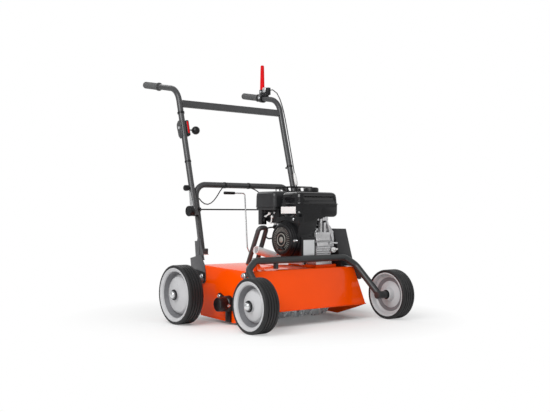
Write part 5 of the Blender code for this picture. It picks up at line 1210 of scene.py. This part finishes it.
def makeCleaner():
    (lowX, highX), (lowY, highY), (lowZ, highZ) = engine["cleanerX"], engine["cleanerY"], engine["cleanerZ"]
    tall = highZ - lowZ
    cover = raised((lowX, lowY), (highX, highY), 0.016, lowZ,
                   [(0.002, 0.0), (0.01, 0.0), (tall - 0.02, 0.0008), (tall - 0.009, 0.0022),
                    (tall - 0.003, 0.0065), (tall, 0.014)])
    ridge = raised((lowX - 0.0004, lowY - 0.0004), (highX + 0.0004, highY + 0.0004), 0.0162, lowZ + 0.001,
                   [(0.0005, -0.0006), (0.0035, -0.0006), (0.004, 0.0)])
    piece("cleanerCover", [cover, ridge], "cleanerPlastic", ("air_cleaner_cover",), sharp=30)
    piece("cleanerBase", cadCopy("air_cleaner_base", 0.0012), "cleanerPlastic", ("air_cleaner_base",),
          sharp=30)
    tab = [block((lowX + 0.01, 0.383, 0.391), (lowX + 0.02, 0.405, 0.44), 0.0015),
           block((lowX + 0.002, 0.374, 0.4045), (lowX + 0.01, 0.392, 0.418), 0.0012)]
    piece("cleanerTab", tab, "blackPaint", slot="black_plastic")


def makeRecoil():
    y, z = engine["crank"]
    face = engine["recoilFace"]
    radius = engine["recoilR"]
    slotCount = engine["recoilSlots"]
    depth = -0.0053 - face
    cover = lathe([(0.0, 0.0004), (0.0225, 0.0004), (0.0235, 0.0014), (0.0275, 0.0014), (0.0285, 0.0002),
                   (0.03, 0.0), (0.056, 0.0), (0.0585, 0.0), (0.062, 0.0006), (0.0642, 0.0022),
                   (0.065, 0.0045), (0.065, 0.0092), (0.0655, 0.01), (0.0682, 0.0104), (0.069, 0.0115),
                   (0.069, 0.0162), (0.0695, 0.0172), (0.0722, 0.0176), (radius, 0.019),
                   (radius, depth - 0.003), (0.0769, depth - 0.003), (0.0769, depth), (radius - 0.003, depth),
                   (radius - 0.003, 0.0215), (0.061, 0.014), (0.0605, 0.0062), (0.0, 0.0045)], (face, y, z),
                  (1, 0, 0), slotCount * 2)
    bmesh.ops.recalc_face_normals(cover, faces=cover.faces)

    def slotBand(f):
        # every other face of the flat ring
        spot = f.calc_center_median() - Vector((0, y, z))
        number = round(math.atan2(spot.z, spot.y) / math.tau * slotCount * 2 - 0.5)
        return f.normal.x < -0.99 and 0.03 < math.hypot(spot.y, spot.z) < 0.056 and number % 2 == 0

    slots = [f for f in cover.faces if slotBand(f)]
    bmesh.ops.inset_individual(cover, faces=slots, thickness=0.0006, depth=0.0, use_even_offset=True)
    bmesh.ops.inset_individual(cover, faces=slots, thickness=0.0001, depth=-0.004, use_even_offset=True)
    piece("recoilCover", cover, "blackPlastic", ("recoil_cover",), sharp=28)
    disc = lathe([(0.0, -0.0014), (0.0105, -0.0012), (0.012, -0.0002), (0.012, 0.0006), (0.0, 0.0006)],
                 (face, y, z), (1, 0, 0), 48)
    ring = lathe([(0.023, -0.0004), (0.0238, -0.0014), (0.0258, -0.0014), (0.0266, -0.0004), (0.0266, 0.0016),
                  (0.023, 0.0016)], (face, y, z), (1, 0, 0), 60, closed=True)
    piece("recoilDisc", [disc, ring], "creamDisc")
    # painted highlight: a light strip in each slot stands in for the glint there
    slotGlints = []
    for number in range(slotCount):
        strip = block((face - 0.0005, 0.0345, -0.0008), (face + 0.0044, 0.0525, 0.0008), 0.0003, 1)
        slotGlints.append(spun(strip, (number + 0.25) * math.tau / slotCount, "X", (0, y, z)))
    piece("recoilSlotHighlight", slotGlints, "creamDisc")
    bolts = []
    reach = engine["recoilBoltR"]
    for angle in map(math.radians, engine["recoilBolts"]):
        spot = (face + depth - 0.0042, y + reach * math.cos(angle), z + reach * math.sin(angle))
        bolts.append(boltHead(spot, (-1, 0, 0), 0.0045, 0.017))
    piece("recoilBolts", bolts, "brightZinc")
    gripY, gripZ = y + engine["ropeOut"][0], z + engine["ropeOut"][1]
    barX = face - 0.02
    grip = lathe([(0.0, -0.014), (0.004, -0.0138), (0.0058, -0.0115), (0.006, -0.004), (0.0054, 0.0),
                  (0.006, 0.004), (0.0058, 0.0115), (0.004, 0.0138), (0.0, 0.014)], (barX, gripY, gripZ),
                 (0, 1, 0), 24)
    stem = lathe([(0.0, 0.0), (0.0045, 0.0), (0.0045, 0.015), (0.006, 0.017), (0.006, 0.0195), (0.0, 0.0195)],
                 (barX, gripY, gripZ), (1, 0, 0), 24)
    piece("starterHandle", [grip, stem], "blackPlastic", ("starter_grip",), "starter_grip")


def makeBlower():
    piece("blowerShell", cadCopy("blower_housing", 0.0016, 40), "blackPlastic", ("blower_housing",), sharp=30)
    backing = [block((0.004, 0.1586, 0.2655), (0.077, 0.178, 0.342), 0.003, 3),
               block((0.05, 0.19, 0.345), (0.165, 0.3, 0.4235), 0.004, 2),
               plate([(0.415, 0.458), (0.3, 0.458), (0.3, 0.4), (0.359, 0.397), (0.415, 0.419)], -0.0032,
                     -0.0016, edge=0.0006)]
    piece("blowerApron", backing, "blackPlastic")
    sticker = block((0.01, 0.1572, 0.2675), (0.069, 0.1588, 0.33), 0.0005, 1)
    piece("blowerPlate", sticker, "silverPlate")


crankcase = {
    "ribs": 4,
    "ribZ": 0.265,
    "ribPitch": 0.0095,
    "ribTall": 0.0046,
    "coverX": 0.1685,
    "coverBolts": 8,
    "boltRing": 0.0735,
    "lowestBolt": 0.252,
    "bossLong": 0.02,
    "dipstick": (0.178, 0.286),
}


def makeCrankcase():
    y, z = engine["crank"]
    case = cadCopy("crankcase", 0.0016, 32)
    ribs = []
    for index in range(crankcase["ribs"]):
        low = crankcase["ribZ"] + index * crankcase["ribPitch"]
        ribs.append(block((0.082, 0.159, low), (0.16, 0.172, low + crankcase["ribTall"]), 0.001))
    tiers = [block((0.08, 0.158, 0.324), (0.159, 0.176, 0.361), 0.0045, 3),
             block((0.087, 0.159, 0.302), (0.149, 0.176, 0.319), 0.003, 3),
             block((0.106, 0.16, 0.356), (0.115, 0.178, 0.417), 0.0016),
             block((0.126, 0.16, 0.356), (0.137, 0.178, 0.401), 0.002),
             block((0.118, 0.16, 0.408), (0.148, 0.19, 0.423), 0.0018),
             plate([(0.137, 0.412), (0.145, 0.412), (0.181, 0.323), (0.173, 0.323)], 0.16, 0.176, across=1,
                   edge=0.0014),
             plate([(0.079, 0.422), (0.099, 0.422), (0.099, 0.408)], 0.162, 0.18, across=1, edge=0.001)]
    bosses = []
    bolts = []
    ring = crankcase["boltRing"]
    boss = Vector((crankcase["bossLong"], 0, 0))
    for index in range(crankcase["coverBolts"]):
        angle = math.radians(20) + math.tau * index / crankcase["coverBolts"]
        boltZ = max(z + ring * math.sin(angle), crankcase["lowestBolt"])
        spot = Vector((crankcase["coverX"], y + ring * math.cos(angle), boltZ))
        bosses.append(bar(spot, spot + boss, 0.0075, 20, 0.0008))
        bolts.append(boltHead(spot + boss, (1, 0, 0), 0.0048, 0.0055))
    piece("crankcaseCasting", [case, *ribs, *bosses, *tiers], "castAluminium", ("crankcase",), sharp=32)
    front = [boltHead((0.09, 0.174, 0.372), (0, -1, 0), 0.005, 0.009),
             bar((0.156, 0.162, 0.3145), (0.2, 0.162, 0.3145), 0.004, 16, 0.0008),
             boltHead((0.06, 0.17, 0.412), (0, -1, 0), 0.0036, 0.004)]
    piece("crankcaseFittings", [*bolts, *front], "brightZinc")
    piece("cylinderFins", cadCopy("cylinder", 0.0008, 40, 1), "castAluminium", ("cylinder",))
    stickX, stickZ = crankcase["dipstick"]
    stick = lathe([(0.0, -0.028), (0.0035, -0.026), (0.0035, 0.0), (0.0105, 0.0004), (0.011, 0.001),
                   (0.011, 0.0055), (0.01, 0.0062), (0.006, 0.007), (0.0055, 0.01), (0.0, 0.0104)],
                  (stickX, 0.162, stickZ), (0, -1, 0), 32)
    tips = [(stickX + side * 0.0095, stickZ + 0.0035) for side in (-1, 1)]
    wings = [plate(capsule((stickX, stickZ), tip, 0.0034), 0.1462, 0.1535, across=1, edge=0.0008)
             for tip in tips]
    piece("oilPlug", [stick, *wings], "whitePlate", ("dipstick",), "dipstick")


# x, y and z are the box of the guard round the can; the pipe's route is also the solid's
muffler = {
    "x": (0.075, 0.192),
    "y": (0.31, 0.42),
    "z": (0.529, 0.555),
    "guardSheet": 0.0012,
    "guardPitch": 0.0225,
    "sidePitch": 0.027,
    "outlet": (0.1745, 0.382),
    "pipe": 0.017,
    "route": ((0.1745, 0.382, 0.4557), (0.1745, 0.382, 0.33), (0.1695, 0.379, 0.25), (0.068, 0.377, 0.247),
              (-0.078, 0.361, 0.286)),
}


def makeMuffler():
    (lowX, highX), (lowY, highY), (lowZ, highZ) = muffler["x"], muffler["y"], muffler["z"]
    can = block((lowX + 0.002, lowY + 0.002, 0.4622), (highX - 0.002, highY - 0.002, 0.533), 0.014, 4,
                along=0)
    port = bar((0.125, 0.3545, 0.433), (0.125, 0.34, 0.466), 0.011, 20)
    outlet = bar((*muffler["outlet"], 0.466), (*muffler["outlet"], 0.4562), muffler["pipe"], 28)
    guard = []
    wall, pitch = muffler["guardSheet"], muffler["guardPitch"]

    def strap(low, high):
        guard.append(block(low, high, 0.0003, 1))

    for y in (lowY, highY - wall):
        for x in (*(lowX + index * pitch for index in range(5)), highX - 0.005):
            strap((x, y, lowZ + 0.001), (x + 0.005, y + wall, highZ - 0.001))
        strap((lowX, y, highZ - 0.0035), (highX, y + wall, highZ))
        strap((lowX, y, lowZ), (highX, y + wall, lowZ + 0.006))
    for x in (lowX, highX - wall):
        for y in (lowY + 0.025 + index * muffler["sidePitch"] for index in range(3)):
            strap((x, y, lowZ + 0.001), (x + wall, y + 0.006, highZ - 0.001))
        strap((x, lowY, highZ - 0.0035), (x + wall, highY, highZ))
        strap((x, lowY, lowZ), (x + wall, highY, lowZ + 0.006))
    for index in range(5):
        x = lowX + 0.01 + index * pitch
        strap((x, lowY, highZ - wall), (x + 0.006, highY, highZ))
    piece("mufflerBox", [can, port, outlet, *guard], "blackPaint", ("muffler",))
    route = bentRoute(muffler["route"], 2 * muffler["pipe"], 9)
    piece("exhaustTube", hollowTube(route, muffler["pipe"], 0.0015, 32), "exhaustSteel", ("exhaust_pipe",))
    # a disc in the aluminium finish closes the pipe a little inside its end
    inward = (route[-2] - route[-1]).normalized()
    endDisc = bar(route[-1] + inward * 0.006, route[-1] + inward * 0.008, 0.0158, 32)
    piece("exhaustEndDisc", endDisc, "castAluminium", slot="steel")


# where each lever of the carburettor turns, and how far off its tip is
carburettorLevers = {
    "chokeArm": ("choke_lever", (0.361, 0.438), (0.021, -0.012)),
    "governorArm": ("throttle_arm", (0.342, 0.424), (0.004, -0.024)),
}


def makeCarburettor():
    piece("carburettorBody", cadCopy("carburetor", 0.001, 32), "castAluminium", ("carburetor",))
    face = -0.0033
    for name, (node, (y, z), (dy, dz)) in carburettorLevers.items():
        hub = bar((face, y, z), (face - 0.006, y, z), 0.006, 24, 0.0008)
        arm = plate(capsule((y, z), (y + dy, z + dz), 0.003), face - 0.0052, face - 0.0032, edge=0.0004)
        tip = bar((face - 0.002, y + dy, z + dz), (face - 0.011, y + dy, z + dz), 0.004, 20, 0.001)
        piece(name, [hub, arm, tip], "whitePlate", (node,), node)
    screws = [boltHead((-0.0115, 0.196, 0.415), (-1, 0, 0), 0.0045, 0.004),
              boltHead((-0.003, 0.331, 0.442), (-1, 0, 0), 0.0038, 0.0036)]
    piece("carburettorScrews", screws, "brightZinc")
    lead = smoothRoute([(0.0657, 0.41, 0.38), (0.02, 0.408, 0.374), (0.0, 0.398, 0.35),
                        (-0.002, 0.375, 0.332), (0.008, 0.35, 0.335), (0.02, 0.3273, 0.343)], 6)
    capShape = lathe([(0.0, 0.0), (0.0075, 0.0), (0.009, 0.0016), (0.009, 0.02), (0.006, 0.022),
                      (0.0, 0.022)], (0.0577, 0.41, 0.38), (1, 0, 0), 24)
    piece("plugLead", [tube(lead, 0.0032, 12), capShape], "blackPlastic", ("spark_plug_lead",),
          slot="cable_sheath")


stay = {
    "radius": 0.01,
    "bend": 0.016,
    "top": ((-0.068, 0.352, 0.378), (-0.026, 0.354, 0.378)),
    "feet": ((-0.076, 0.43), (-0.026, 0.435)),
    "cutY": 0.42,
    "deckSlope": 0.0359,
}


def makeStay():
    # both legs run on below the deck's top and are cut there
    below = 0.2
    (topRight, topLeft), (footRight, footLeft) = stay["top"], stay["feet"]
    route = bentRoute([(*footRight, below), topRight, topLeft, (*footLeft, below)], stay["bend"], 8)
    hoop = tube(route, stay["radius"], 24)
    cutY = stay["cutY"]
    cutBelow(hoop, (0, cutY, deckTop(cutY) + 0.0004), (0, -stay["deckSlope"], 1.0))
    piece("stayHoop", hoop, "greyPaint", ("engine_stay",))


def makeBeltGuard():
    piece("beltGuard", cadCopy("belt_guard", 0.002, 35, 3), "guardSteel", ("belt_guard",), sharp=30)


makeTank()
makeCleaner()
makeRecoil()
makeBlower()
makeCrankcase()
makeMuffler()
makeCarburettor()
makeStay()
makeBeltGuard()
print("engine made")
